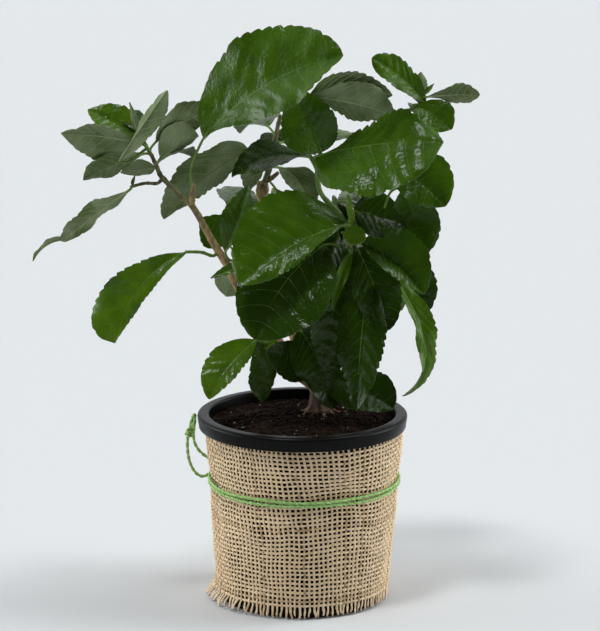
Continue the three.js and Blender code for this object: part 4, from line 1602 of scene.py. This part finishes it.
@dataclass
class Leaf:
    """One leaf, as in the part's source: where its blade starts, and how the blade runs from there.

    Its stalk leaves the stem at a share of its length. The rise falls by droop towards the tip, late above
    1 leaves that to the outer part, and roll tips the blade sideways. For the left and the right half there
    are a width, an angle that it is folded up by, the place of its peak, and how blunt it is, smaller for
    blunter; one number stands for both halves. Jag and ruffle scale its teeth and its margin's waves.
    """

    at: float
    base: Vec
    length: float
    heading: float
    rise: float
    droop: float
    roll: float
    halves: float | Pair
    fold: float | Pair
    peaks: float | Pair = 0.42
    full: float | Pair = 0.8
    late: float = 1
    green: Green = Green.MID
    stalked: bool = True
    jag: float = 1
    ruffle: float = 1

    def __post_init__(self) -> None:
        """Makes a pair of each number that stands for both halves."""
        for name in ("halves", "fold", "peaks", "full"):
            value = getattr(self, name)
            if not isinstance(value, tuple):
                setattr(self, name, (value, value))

    def frames(self, u: np.ndarray) -> tuple[np.ndarray, np.ndarray, np.ndarray]:
        """Midrib and cross directions: the rise falls by droop along the blade, and roll tips it sideways.

        Args:
            u: places along the midrib, from 0 to 1.

        Returns:
            Centres, the left direction and the upper face's direction, each of u's shape and 3.
        """
        fine = np.linspace(0, 1, MIDRIB_STEPS + 1)
        middle = (fine[1:] + fine[:-1]) / 2
        steps = direction(self.heading, self.rise - self.droop * middle**self.late)
        run = np.vstack([np.zeros(3), np.cumsum(steps, axis=0)]) * self.length / MIDRIB_STEPS
        line = np.array(self.base) + run
        centre = np.stack([np.interp(u, fine, line[:, k]) for k in range(3)], axis=-1)
        along = direction(self.heading, self.rise - self.droop * np.clip(u, 0, 1) ** self.late)
        left = np.broadcast_to(direction(self.heading + 90), along.shape)
        up = np.cross(along, left)
        cos, sin = math.cos(math.radians(self.roll)), math.sin(math.radians(self.roll))
        return centre, left * cos + up * sin, up * cos - left * sin

    def half_width(self, u: np.ndarray, side: int) -> np.ndarray:
        """Width of one half: a rounded hump whose peak can be moved along the blade.

        Args:
            u: places along the midrib.
            side: 0 for the left half, 1 for the right.

        Returns:
            Widths of u's shape.
        """
        skew = math.log(0.5) / math.log(self.peaks[side])
        hump = np.sin(np.pi * np.clip(u, 0, 1) ** skew) ** self.full[side]
        return np.maximum(NARROWEST_HALF, self.halves[side] * hump)


@dataclass(frozen=True)
class BladeShape:
    """How every blade is worked. Heights and widths are shares of its length, where not said otherwise.

    Each noise is height, cell and seed. Each wave is height, number along the blade and power of the reach.
    """

    tooth: float = 5.5
    teeth: Pair = (6, 19)
    tooth_back: float = 0.8
    tooth_depth: float = 0.09
    tooth_least: float = 0.4
    tooth_share: float = 0.009
    tooth_own: Pair = (0.2, 1.7)
    tooth_from: float = 0.08
    tooth_run: float = 0.3
    tooth_first: float = 0.15
    tooth_bow: float = 0.9
    tooth_end: float = 0.985
    unfold: float = 0.25
    fan: float = 0.42
    fan_power: float = 1.2
    vein_pitch: float = 0.14
    quilt: float = 0.0115
    quilt_level: float = 0.6
    quilt_noise: Vec = (0.7, 11, 61)
    quilt_start: float = 0.12
    quilt_ends: Pair = (0.02, 0.98)
    groove: float = 0.006
    groove_width: float = 0.022
    groove_least: float = 0.3
    crinkle: Layers = ((0.0080, 12, 62), (0.0028, 6, 63))
    crinkle_start: float = 0.2
    waves: Layers = ((0.026, 7, 2), (0.015, 15, 3), (0.005, 31, 4))
    calm: float = 0.12
    grain_apart: float = 40
    step_per_tooth: int = 5
    strips: tuple[int, int] = (10, 20)
    strips_long: float = 30
    strip_power: float = 0.85
    half_thick: Pair = (0.16, 0.30)


@dataclass(frozen=True)
class VeinShape:
    """Sizes of the veins: shares of the blade's length, and lifts and least widths in millimetres."""

    start: float = 0.01
    last: float = 0.9
    reach: float = 0.9
    rings: int = 13
    sides: int = 4
    width: float = 0.0015
    least: float = 0.17
    tip: float = 0.62
    outer: float = 0.3
    lift: float = 0.2
    low_lift: float = -0.22
    low_wider: float = 1.15
    rib_end: float = 0.97
    rib_rings: int = 27
    rib_sides: int = 6
    rib: float = 0.005
    low_rib: float = 0.007
    rib_least: float = 0.3
    rib_tip: float = 0.75
    low_rib_lift: float = -0.35


class Blade:
    """A leaf's blade: a thin closed skin with teeth, quilting between its veins, and the veins on it."""

    shape = BladeShape()
    vein = VeinShape()
    FIRST_SEED = 1000
    TOOTH_DRAWS = 64

    def __init__(self, leaf: Leaf, number: int) -> None:
        """Keeps the leaf and draws what is its own about it.

        Args:
            leaf: the leaf.
            number: picks its random waves.
        """
        self.leaf = leaf
        self.number = number
        rng = np.random.default_rng(self.FIRST_SEED + number)
        self.phase = rng.random(4) * 2 * np.pi
        self.teeth = int(np.clip(round(leaf.length / self.shape.tooth), *self.shape.teeth))
        self.draws = rng.random(self.TOOTH_DRAWS)

    def margin(self, u: np.ndarray, v: np.ndarray, half: np.ndarray) -> np.ndarray:
        """Distance from the midrib: the half's width less its teeth, each a slow rise and a steep fall.

        Args:
            u: along the midrib, from 0 to 1.
            v: across, 1 at the left margin and -1 at the right one.
            half: the half's width at u.

        Returns:
            Distances of u's shape.
        """
        b, reach = self.shape, np.abs(v)
        x = u * self.teeth
        step, back = x % 1, b.tooth_back
        rising = np.sin(np.pi / (2 * back) * step) ** b.tooth_bow
        saw = np.where(step < back, rising, np.cos(np.pi / (2 * (1 - back)) * (step - back)))
        tooth = np.clip(x.astype(int) + np.where(v >= 0, 0, self.TOOTH_DRAWS // 2), 0, self.TOOTH_DRAWS - 1)
        share = (b.tooth_least + b.tooth_share * self.leaf.length) / np.maximum(half, 1)
        depth = self.leaf.jag * np.minimum(b.tooth_depth, share) * between(b.tooth_own, self.draws[tooth])
        depth = depth * ramp(u, b.tooth_from, b.tooth_run, b.tooth_first) * (u < b.tooth_end)
        return reach * half * (1 - depth * (1 - saw) * reach**4)

    def relief(self, u: np.ndarray, v: np.ndarray, half: np.ndarray) -> np.ndarray:
        """Height above the folded half: quilting between the veins, the midrib's groove, and waves.

        Args:
            u: along the midrib.
            v: across.
            half: the half's width at u.

        Returns:
            Heights of u's shape.
        """
        b, size, reach = self.shape, self.leaf.length, np.abs(v)
        sign = np.where(v >= 0, 1.0, -1.0)
        place = np.stack(np.broadcast_arrays(u * size, v * half, b.grain_apart * self.number), axis=-1)
        slant = b.fan * reach**b.fan_power
        quilt = np.sin(np.pi * (u - slant) / (1 - slant) / b.vein_pitch) ** 2 - 0.5
        quilt = b.quilt * (b.quilt_level + layered_noise(place, (b.quilt_noise,))) * quilt
        quilt = quilt * ramp(reach, 0, b.quilt_start) * (1 - reach**5)
        quilt = quilt * np.sin(np.pi * np.clip(u, *b.quilt_ends)) ** 0.5
        groove = -b.groove * bell(reach * half, b.groove_width * size + b.groove_least)
        crinkle = layered_noise(place, b.crinkle) * ramp(reach, 0, b.crinkle_start)
        first, apart, second, third = self.phase
        ruffle, flutter, ripple = b.waves
        wave = ruffle[0] * np.sin(ruffle[1] * u + first + sign * apart) * reach ** ruffle[2]
        wave = wave + flutter[0] * np.sin(flutter[1] * u + second) * reach ** flutter[2]
        edge = ripple[0] * np.sin(ripple[1] * u + third + 2 * sign) * reach ** ripple[2]
        whole = quilt + groove + crinkle + self.leaf.ruffle * wave + edge
        return size * whole * ramp(half, 0, b.calm * size)

    def surface(self, u: np.ndarray, v: np.ndarray, lift: Values = 0) -> np.ndarray:
        """A place on the blade: out from the midrib along the folded half, then raised by the relief.

        Args:
            u: along the midrib, from 0 to 1.
            v: across, 1 at the left margin and -1 at the right one.
            lift: extra height above the middle skin, in millimetres.

        Returns:
            Points of u's shape and 3.
        """
        leaf = self.leaf
        centre, left, up = leaf.frames(u)
        half = np.where(v >= 0, leaf.half_width(u, 0), leaf.half_width(u, 1))
        out = self.margin(u, v, half)
        fold = np.radians(np.where(v >= 0, leaf.fold[0], leaf.fold[1]) * (1 - self.shape.unfold * np.abs(v)))
        rise = out * np.sin(fold) + self.relief(u, v, half) + lift
        across = np.where(v >= 0, 1.0, -1.0) * out * np.cos(fold)
        return centre + left * across[..., None] + up * rise[..., None]

    def skin(self) -> Surface:
        """The blade's two faces, stitched at the margin.

        Returns:
            The closed surface; finish 0 is its upper face and 1 its lower one.
        """
        b = self.shape
        strips = b.strips[1] if self.leaf.length > b.strips_long else b.strips[0]
        v = np.linspace(1, -1, strips + 1)[None, :]
        v = np.sign(v) * np.abs(v) ** b.strip_power
        u, v = np.broadcast_arrays(np.linspace(0, 1, self.teeth * b.step_per_tooth + 1)[:, None], v)
        thick = between(b.half_thick, 1 - np.abs(v) ** 4)
        ring = np.concatenate([self.surface(u, v, thick), self.surface(u, v, -thick)[:, ::-1]], axis=1)
        return loft(ring, np.concatenate([np.zeros(strips, int), np.ones(strips + 2, int)]))

    def veins(self) -> Surface:
        """The midrib, and a fan of side veins on either face, each a fine tapering tube sunk in the blade.

        Returns:
            The closed surfaces; finish 2 is a vein above and 3 one below.
        """
        b, k, size = self.shape, self.vein, self.leaf.length
        facing = self.leaf.frames(np.array([0.5]))[2][0]
        s = np.linspace(0, 1, k.rings)
        start = np.repeat(np.arange(k.start, k.last, b.vein_pitch), 2)[:, None]
        v = np.tile([[1.0], [-1.0]], (len(start) // 2, 1)) * k.reach * s
        u = start + b.fan * (1 - start) * np.abs(v) ** b.fan_power
        width = (k.width * size * (1 - k.outer * start) + k.least) * (1 - k.tip * s)
        along = np.linspace(0, k.rib_end, k.rib_rings)
        taper = 1 - k.rib_tip * along
        rib, low_rib = ((share * size + k.rib_least) * taper for share in (k.rib, k.low_rib))
        return join(
            [
                tube(self.surface(u, v, k.lift), width, k.sides, facing, finish=2),
                tube(self.surface(u, v, k.low_lift), k.low_wider * width, k.sides, facing, finish=3),
                tube(self.surface(along, 0 * along), rib, k.rib_sides, facing, finish=2),
                tube(self.surface(along, 0 * along, k.low_rib_lift), low_rib, k.rib_sides, facing, finish=3),
            ]
        )


# ------------------------------------------------------------------ masses of foliage


@dataclass(frozen=True)
class Rule:
    """How a mass adds leaves by rule: their number, seed, and the ranges that they are drawn from."""

    count: int
    seed: int
    start: float
    heading: Pair
    rise: Pair
    length: Pair
    left_out: tuple[int, ...] = ()


@dataclass(frozen=True)
class Mass:
    """One mass of foliage: its stem, leaves placed one by one, its rule, and one for small leaves behind."""

    name: str
    places: tuple[Vec, ...]
    radii: Pair
    leaves: tuple[Leaf, ...] = ()
    rule: Rule | None = None
    woody: bool = False
    behind: Rule | None = None


# D marks placed leaves that lie in shade; their darker green is painted shade.
D, F = Green.DEEP_AND_PAINTED_SHADE, Green.FRESH

MASSES = (
    Mass(
        "left_top",
        ((-106.8, 3, 328.2), (-109, 3.5, 333), (-113, 2, 343), (-117, 0, 350.5)),
        (1.9, 1.3),
        (
            Leaf(0.9, (-121, 6, 355), 47, 164, 31, 10, -35, 15, (10, 25), 0.5, green=F),
            Leaf(0.8, (-122, -3, 354), 60, 191, 16, 14, 60, (9, 28), 12, (0.6, 0.38)),
            Leaf(0.95, (-137, -8, 341), 66, 352, 57, 2, -125, 10, 40, 0.55, 0.6),
            Leaf(0.8, (-110, 8, 353), 61, 26, 36, 25, -55, (20, 18), 10, green=D),
            Leaf(0.6, (-118, 7, 344), 52, 176, -15, 18, 55, (13, 11), 10, 0.6),
            Leaf(0.15, (-111, 8, 333), 28, 163, -5, 12, 60, 8, 10),
            Leaf(0.2, (-107, 9, 340), 37, 34, 34, 25, -60, (10, 22), (10, 20), green=D),
            Leaf(1, (-123, 5, 358), 26, 160, 74, 0, 90, 3, 25, green=F),
        ),
        Rule(2, 11, 0.35, (50, 130), (10, 40), (34, 44)),
        True,
    ),
    Mass(
        "left_far",
        ((-108.6, 1, 322.6), (-118, 0, 322.6), (-128.5, -1, 320.3)),
        (1.4, 1.1),
        (
            Leaf(1, (-130, -3, 318), 64, 192, -32, 6, 70, (10, 11), 25, (0.66, 0.6), 0.6, ruffle=1.6),
            Leaf(1, (-178, -14, 282.5), 31, 189, 2, 70, 30, 5, 30, stalked=False),
            Leaf(1, (-128, -1, 321), 8, 60, 62, 0, 0, 1.6, 10),
        ),
        None,
        True,
    ),
    Mass(
        "left_droop",
        ((-66.9, -3.5, 267.6), (-76, -7, 271), (-88, -10, 272)),
        (1.3, 1.1),
        (
            Leaf(
                1, (-87, -10, 272), 92, 203, -17, 62, -55, (9, 25), (10, 5), (0.5, 0.76), (0.7, 0.42),
                green=F, jag=0.9, ruffle=1.9,
            ),
        ),
    ),
    Mass(
        "left_mid",
        ((-48.6, -2.5, 252.5), (-48, -4, 258), (-47, -5, 264)),
        (1.6, 1.3),
        (
            Leaf(0.6, (-48.5, 9, 259), 28, 168, -65, 10, 90, 13, 5, 0.6, green=D),
            Leaf(1, (-43, -9, 263), 29, 199, -14, 10, -60, 4, 20, green=F),
            Leaf(1, (-58, -9, 271), 56, 345, 68, -6, 95, (13, 10), (20, 30), (0.5, 0.6)),
            Leaf(0.9, (-56, 9, 274), 29, 162, 45, 15, -60, 15, (10, 20)),
            Leaf(0.9, (-45, 6, 267), 19, 33, 79, 0, 90, 7, 10, green=F),
        ),
    ),
    Mass(
        "top",
        ((-82.6, -1, 310), (-82.4, -1, 312), (-82.3, -1, 314)),
        (2.2, 1.9),
        (Leaf(1, (-74, -6, 358), 132, 341, 51, 38, 60, (44, 34), (6, 20), (0.5, 0.62), (0.62, 0.75)),),
    ),
    Mass(
        "centre",
        ((-30.6, 26, 312.8), (-29, 26, 317), (-26, 26, 326), (-23, 27, 340), (-20, 29, 354), (-17, 33, 368)),
        (2.5, 1.5),
        (Leaf(0.5, (-40, 24, 343), 85, 180, -24, 30, 60, (27, 12), -10, (0.38, 0.5), (0.6, 0.8), green=D),),
        Rule(6, 23, 0.3, (50, 140), (-20, 25), (50, 66)),
        True,
        Rule(4, 131, 0.15, (55, 140), (-45, 5), (34, 44)),
    ),
    Mass(
        "right",
        ((36, -3.8, 284.8), (28, -7, 300), (14, -10, 317), (11, -11, 332), (11.5, -12, 345)),
        (2.4, 1.5),
        (
            Leaf(0.95, (7, 2, 342), 64, 186, 13, 52, -20, 20, 15, 0.6, green=D),
            Leaf(0.35, (25, 10, 309), 54, 340, -70, 8, 10, (16, 15), 12, (0.45, 0.5), 0.65, green=D),
            Leaf(0.97, (14, -10, 348), 53, 175, 76, 25, -70, (26, 19), 15, 0.4, 0.65),
            Leaf(0.9, (5, 2, 389), 64, 7, 17, 36, -75, (18, 14), 10, 0.5),
            Leaf(0.85, (6, -2, 389), 67, 4, -5, 18, -75, (14, 18), 10, 0.55),
            Leaf(
                1, (10, -20, 347), 103, 338, 19, 18, 50, (25, 46), (5, 8), (0.66, 0.45), (0.9, 0.42),
                jag=1.3, ruffle=1.8,
            ),
        ),
        behind=Rule(4, 171, 0.15, (20, 150), (-30, 20), (36, 48)),
    ),
    Mass(
        "right_top",
        ((79.6, 8.4, 376.4), (84, 6, 379), (88, 4, 382.5), (89.5, 3, 388)),
        (1.7, 1.2),
        (
            Leaf(0.7, (94, 0, 379), 59, 188, 58, 30, -60, (12, 13), 15, 0.65, 0.6),
            Leaf(1, (88, 2, 390), 17, 0, 88, 0, -80, 6, 20, green=F),
            Leaf(1, (90, 4, 389), 12, 14, 43, 0, 40, 2.5, 20, green=F),
            Leaf(0.9, (91, 0, 388), 42, 352, 11, 14, -65, 9, 10, 0.7, 0.6),
            Leaf(0.6, (83, -2, 382), 35, 337, -14, 25, 50, 15, 10, 0.6),
        ),
        Rule(2, 31, 0.2, (70, 150), (-5, 25), (32, 42)),
    ),
    Mass(
        "right_side",
        ((47.2, 6.5, 296), (54, -2, 299), (62, -5, 301)),
        (1.7, 1.3),
        (
            Leaf(0.6, (58, -8, 342), 63, 336, -10, 40, 60, (24, 20), (10, 25), 0.6, 0.7),
            Leaf(0.9, (76, 0, 319), 55, 326, -61, 20, 70, 20, 8, 0.5),
            Leaf(0.5, (45, -14, 280), 66, 323, -12, 35, 60, (26, 14), (5, 65), 0.5, 0.65),
            Leaf(0.2, (38, -9, 303), 42, 4, -6, 20, 50, (19, 22), 10, green=D),
            Leaf(1, (80, 14, 259), 45, 342, -63, 20, 60, 16, 8, green=D),
            Leaf(1, (71, -4, 249), 102, 350, -58, 95, 30, 11, 25, 0.42, 0.5, 2.2, green=F),
        ),
    ),
    Mass(
        "front",
        ((33.5, -8.6, 268), (34.5, -12, 280), (35.7, -16, 290)),
        (1.7, 1.4),
        (
            Leaf(1, (33, -20, 295), 97, 206, -6, 35, -52, (17, 43), (22, 4), (0.6, 0.47), (0.8, 0.6)),
            Leaf(0.9, (30, -26, 290), 19, 334, -1, 20, 50, 8, 10, 0.55, 0.6, green=F),
            Leaf(0.1, (17, -12, 278), 93, 215, -23, 45, -35, (42, 34), 10, 0.5, (0.55, 0.6), green=D),
            Leaf(0.3, (37, -14, 274), 47, 208, -64, 10, -60, 5, 30, green=F),
            Leaf(1, (36, -16, 293), 26, 239, 80, 0, -95, 5, 20, green=F),
            Leaf(0.4, (31, 0, 291), 48, 208, -62, 10, -25, (15, 14), 12, (0.45, 0.4), 0.65, green=D),
        ),
        behind=Rule(4, 181, 0.15, (20, 150), (-40, 20), (34, 46)),
    ),
    Mass(
        "right_low",
        ((33.6, -5, 250), (38, -8, 259), (41, -8, 268)),
        (1.7, 1.3),
        (
            Leaf(0.6, (49, -12, 249), 97, 251, -67, 15, 0, (20, 19), 12, (0.42, 0.38), 0.7, green=D),
            Leaf(1, (41, -6, 274), 67, 320, -52, 25, 40, (20, 18), 8, 0.5, 0.6, green=D),
            Leaf(0.5, (33, -9, 262), 80, 205, -70, 12, -62, (20, 18), 14, (0.45, 0.4), 0.65, green=D),
        ),
    ),
    Mass(
        "low_left",
        ((-20.2, 6, 194), (-27, 4, 198), (-34, 2, 201)),
        (1.6, 1.3),
        (
            Leaf(1, (-35, -4, 202), 61, 220, -22, 35, -40, (11, 18), (20, 5), (0.5, 0.55), 0.7, green=F),
            Leaf(1, (-38, 2, 200), 49, 0, -71, 20, 60, (14, 12), 15, (0.45, 0.6)),
            Leaf(0.8, (-31, 6, 196), 12, 348, 22, 10, 60, 6, 20, green=F),
        ),
    ),
    Mass(
        "low_mid",
        ((11, 6.4, 157), (10, 4, 166), (8, 2, 180)),
        (1.7, 1.3),
        (
            Leaf(0.8, (8, 2, 176), 40, 190, 38, 25, -70, (17, 15), 10, 0.42, 0.6, green=D),
            Leaf(1, (-2, -2, 211), 51, 339, -54, 20, 60, 20, 10, 0.5, 0.6, green=D),
            Leaf(0.3, (17, 2, 171), 59, 341, -2, 35, 38, (20, 22), 8, (0.6, 0.5), 0.6, green=D),
            Leaf(0.8, (5, -1, 180), 37, 325, -40, 25, 25, (13, 12), 10, (0.5, 0.45), 0.62, green=D),
        ),
    ),
    Mass(
        "back_left",
        ((-20.6, 38.4, 254), (-24, 46, 259), (-30, 57, 265), (-36, 66, 268)),
        (1.8, 1.2),
        (),
        Rule(6, 41, 0.2, (45, 150), (-25, 30), (46, 64)),
        behind=Rule(6, 141, 0.1, (30, 165), (-60, 50), (32, 44)),
    ),
    Mass(
        "back_right",
        ((38.3, 52.6, 247.6), (41, 57, 256), (42, 60, 268), (42, 62, 280)),
        (2.1, 1.3),
        (),
        Rule(7, 53, 0.1, (30, 140), (-30, 30), (48, 64), (3,)),
        behind=Rule(7, 153, 0.1, (20, 150), (-60, 45), (32, 46)),
    ),
    Mass(
        "back_low",
        ((10, 26.4, 158), (8, 34, 166), (8, 44, 176)),
        (1.8, 1.3),
        (),
        Rule(3, 67, 0.3, (30, 140), (12, 35), (38, 50)),
        behind=Rule(4, 167, 0.25, (20, 150), (-5, 55), (28, 38)),
    ),
)

@dataclass(frozen=True)
class RuledShape:
    """The ranges that all leaves by rule are drawn from, as in the part's source."""

    turn: float = 137.5
    turn_stray: float = 20
    rise_stray: float = 8
    width: Pair = (0.27, 0.31)
    reach: Pair = (12, 20)
    reach_rise: float = 10
    droop: Pair = (30, 55)
    roll: float = 30
    fold: float = 12
    greens: tuple[Green, ...] = (Green.MID, Green.DEEP_AND_PAINTED_SHADE, Green.MID, Green.FRESH)


@dataclass(frozen=True)
class StalkShape:
    """Sizes of the stalks, and of the stems that they leave."""

    radius: float = 1.0
    least: float = 0.6
    share: float = 0.01
    sink: float = 0.08
    elbow: float = 0.4
    bend: float = 0.6
    steps: int = 24
    sides: int = 8
    swell: float = 0.5
    swell_fall: float = 14
    thinner: float = 0.35
    thinner_from: float = 0.75
    facing: Vec = (0.3, 0.2, 0.9)
    stem_steps: int = 40
    stem_sides: int = 10
    stem_nodes: int = 5
    stem_knot: float = 0.18
    knot_width: float = math.sqrt(0.02)
    stem_facing: Vec = (0.9, 0.2, 0.05)


class Foliage:
    """Grows each mass: its stem, stalks, blades and veins."""

    BLADE_FINISHES = (LEAF_DEEP_AND_PAINTED_SHADE, LEAF_MID, LEAF_FRESH, LEAF_UNDER, VEIN, VEIN_UNDER)
    BELOW_AND_VEINS = (3, 4, 5)
    ruled_shape = RuledShape()
    stalk_shape = StalkShape()
    NEAREST_STEPS = 160

    def __init__(self, masses: tuple[Mass, ...]) -> None:
        """Keeps the masses.

        Args:
            masses: what to grow.
        """
        self.masses = masses
        self.count = 0
        self.limbs = np.vstack([curve_through(bough.places, self.NEAREST_STEPS) for bough in BOUGHS])

    def limb_point(self, place: Vec) -> Vec:
        """Gives the point on a limb's centre line that is nearest to a place."""
        nearest = self.limbs[int(np.argmin(np.linalg.norm(self.limbs - place, axis=1)))]
        return tuple(float(v) for v in nearest)

    def ruled(self, rule: Rule | None, line: np.ndarray) -> list[Leaf]:
        """Leaves by rule: each a golden turn round from the last, and steeper towards the tip.

        Args:
            rule: the rule, or nothing.
            line: the stem's points, evenly spaced.

        Returns:
            The leaves.
        """
        if rule is None:
            return []
        k = self.ruled_shape
        draw = seeded(rule.seed)
        made = []
        for i in range(rule.count):
            up = i / (rule.count - 1) if rule.count > 1 else 0
            span = rule.heading[1] - rule.heading[0]
            heading = rule.heading[0] + (k.turn * i + k.turn_stray * next(draw)) % span
            length = between(rule.length, next(draw))
            rise = between(rule.rise, up) + k.rise_stray * (next(draw) - 0.5)
            width = length * between(k.width, next(draw))
            at = between((rule.start, 1), up)
            reach = between(k.reach, next(draw))
            droop = between(k.droop, next(draw))
            roll = k.roll * (next(draw) - 0.5)
            root = line[int(round(at * (len(line) - 1)))]
            base = tuple(root + direction(heading, rise + k.reach_rise) * reach)
            green = k.greens[i % len(k.greens)]
            if i not in rule.left_out:
                made.append(Leaf(at, base, length, heading, rise, droop, roll, width, k.fold, green=green))
        return made

    def stalk(self, leaf: Leaf, root: np.ndarray) -> Surface:
        """A stalk that bends from the stem into the blade and ends a little way inside it.

        Args:
            leaf: the leaf it bears.
            root: its start on the stem.

        Returns:
            The tube.
        """
        k = self.stalk_shape
        base = np.array(leaf.base, float)
        along = direction(leaf.heading, leaf.rise)
        elbow = base - along * k.elbow * float(np.linalg.norm(base - root))
        end = base + along * leaf.length * k.sink
        path = curve_through([root, root + (elbow - root) * k.bend, base, end], k.steps)
        t = np.linspace(0, 1, k.steps + 1)
        swell = 1 + k.swell * np.exp(-t * k.swell_fall)
        swell = swell - k.thinner * ramp(t, k.thinner_from, 1 - k.thinner_from)
        facing = np.cross(along, k.facing) + (0.01, 0, 0)
        return tube(path, min(k.radius, k.least + leaf.length * k.share) * swell, k.sides, facing)

    def stem(self, mass: Mass) -> Surface:
        """A mass's stem, from inside its limb, with a low knot at even steps.

        Args:
            mass: the mass.

        Returns:
            The tube, with finish 1.
        """
        k = self.stalk_shape
        path = curve_through([self.limb_point(mass.places[0]), *mass.places], k.stem_steps)
        t = np.linspace(0, 1, k.stem_steps + 1)
        knots = 1 + k.stem_knot * bell((t * k.stem_nodes) % 1 - 0.5, k.knot_width)
        return tube(path, between(mass.radii, t) * knots, k.stem_sides, np.array(k.stem_facing), finish=1)

    def grow(self, mass: Mass) -> list[bpy.types.Object]:
        """Grows one mass.

        Args:
            mass: the mass.

        Returns:
            Its leaves and its twigs, as two pieces.
        """
        line = curve_through(mass.places, LIMB_STEPS)
        woods = [self.stem(mass)]
        blades: dict[Green, list[Surface]] = {green: [] for green in Green}
        for leaf in [*mass.leaves, *self.ruled(mass.rule, line), *self.ruled(mass.behind, line)]:
            self.count += 1
            blade = Blade(leaf, self.count)
            paint = np.array([leaf.green.value, *self.BELOW_AND_VEINS])
            for part in (blade.skin(), blade.veins()):
                part.quad_finish, part.tri_finish = paint[part.quad_finish], paint[part.tri_finish]
                blades[leaf.green].append(part)
            if leaf.stalked:
                woods.append(self.stalk(leaf, line[int(round(leaf.at * LIMB_STEPS))]))
        greens = [finish.material() for finish in self.BLADE_FINISHES]
        browns = [STALK.material(), (BARK_YOUNG if mass.woody else STALK).material()]
        leaves = mesh_object(f"leaves_{mass.name}", join(sum(blades.values(), [])), greens)
        twigs = mesh_object(f"twigs_{mass.name}", join(woods), browns)
        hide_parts(f"foliage_{mass.name}")
        return [leaves, twigs]

    def make(self) -> list[bpy.types.Object]:
        """Grows every mass.

        Returns:
            The pieces.
        """
        made = [piece for mass in self.masses for piece in self.grow(mass)]
        LOG.info("%d leaves", self.count)
        return made


# ------------------------------------------------------------------ stage, light and camera


@dataclass(frozen=True)
class View:
    """Where the camera stands: it looks along +Y, tilted down. Its reach is in metres."""

    target: Vec = (-1.8, 0, 220.5)
    distance: float = 3000
    tilt: float = 13.2
    lens: float = 225.9
    sensor: float = 36
    reach: float = 50


@dataclass(frozen=True)
class Glow:
    """A broad soft patch of the surround: its middle, how tight it is, and its strength."""

    middle: Vec
    tight: float
    strength: float


AMBIENT = 0.05
GLOWS = (
    Glow((0.0, 0.4, 1.0), 5.0, 0.3),
    Glow((-1.0, 0.2, 0.12), 16.0, 7.6),
    Glow((1.0, 0.14, 0.16), 16.0, 7.9),
    Glow((0.0, 1.0, 0.6), 4.0, 0.9),
    Glow((-0.25, -0.3, 1.0), 300.0, 68.0),
    Glow((0.5, 0.1, 1.0), 140.0, 21.0),
)
SURROUND_TINT = (0.965, 0.985, 1.0, 1.0)


@dataclass(frozen=True)
class Studio:
    """A plain pale floor, a soft surround and the camera."""

    view: View = View()
    floor_reach: float = 12000

    def floor(self) -> None:
        """Makes a flat square floor, wide enough to fill the picture."""
        f = self.floor_reach
        corners = np.array([(-f, -f, 0), (f, -f, 0), (f, f, 0), (-f, f, 0)])
        none = np.zeros((0, 3), int)
        made = Surface(corners, np.array([[0, 1, 2, 3]]), none, np.zeros(1, int), np.zeros(0, int))
        piece = mesh_object("floor", made, [STAGE.material()])

    def surround(self) -> None:
        """Lights all with a dome: ambient + sum of strength * exp(tight * (cos(angle to the middle) - 1))."""
        world = bpy.data.worlds.new("surround")
        bench = Bench(world)
        total: float | bpy.types.NodeSocket = AMBIENT
        for glow in GLOWS:
            middle = unit(np.array(glow.middle)).tolist()
            cosine = bench.add("ShaderNodeVectorMath", {0: bench.place, 1: middle}, operation="DOT_PRODUCT")
            fall = {0: cosine.outputs["Value"], 1: glow.tight, 2: -glow.tight}
            fall = bench.add("ShaderNodeMath", fall, operation="MULTIPLY_ADD").outputs[0]
            lobe = bench.add("ShaderNodeMath", {0: fall}, operation="EXPONENT").outputs[0]
            so_far = {0: lobe, 1: glow.strength, 2: total}
            total = bench.add("ShaderNodeMath", so_far, operation="MULTIPLY_ADD").outputs[0]
        bench.fill(bench.tree.nodes["Background"], {"Color": SURROUND_TINT, "Strength": total})
        bpy.context.scene.world = world

    def camera(self) -> None:
        """Places the camera."""
        v = self.view
        data = bpy.data.cameras.new("camera")
        data.lens = v.lens
        data.sensor_width = v.sensor
        data.sensor_fit = "AUTO"
        data.clip_end = v.reach
        data.dof.use_dof = False
        obj = bpy.data.objects.new("camera", data)
        obj.location = (np.array(v.target) - direction(90.0, -v.tilt) * v.distance) * MM
        obj.rotation_euler = (math.radians(90 - v.tilt), 0, 0)
        bpy.context.scene.collection.objects.link(obj)
        bpy.context.scene.camera = obj

    def make(self) -> None:
        """Makes the floor and the surround. The camera is made by camera()."""
        self.floor()
        self.surround()
        bpy.context.scene.view_settings.view_transform = "Standard"


def main() -> None:
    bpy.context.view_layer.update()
    studio = Studio()
    studio.camera()
    wrap, pot = Wrap(), Pot()
    pieces = wrap.loop()
    studio.make()
    pieces += pot.make()
    pieces += wrap.make()
    pieces += Wood(pot).make()
    pieces += Foliage(MASSES).make()
    for piece in pieces:
        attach(piece, "root")


if __name__ == "__main__":
    main()
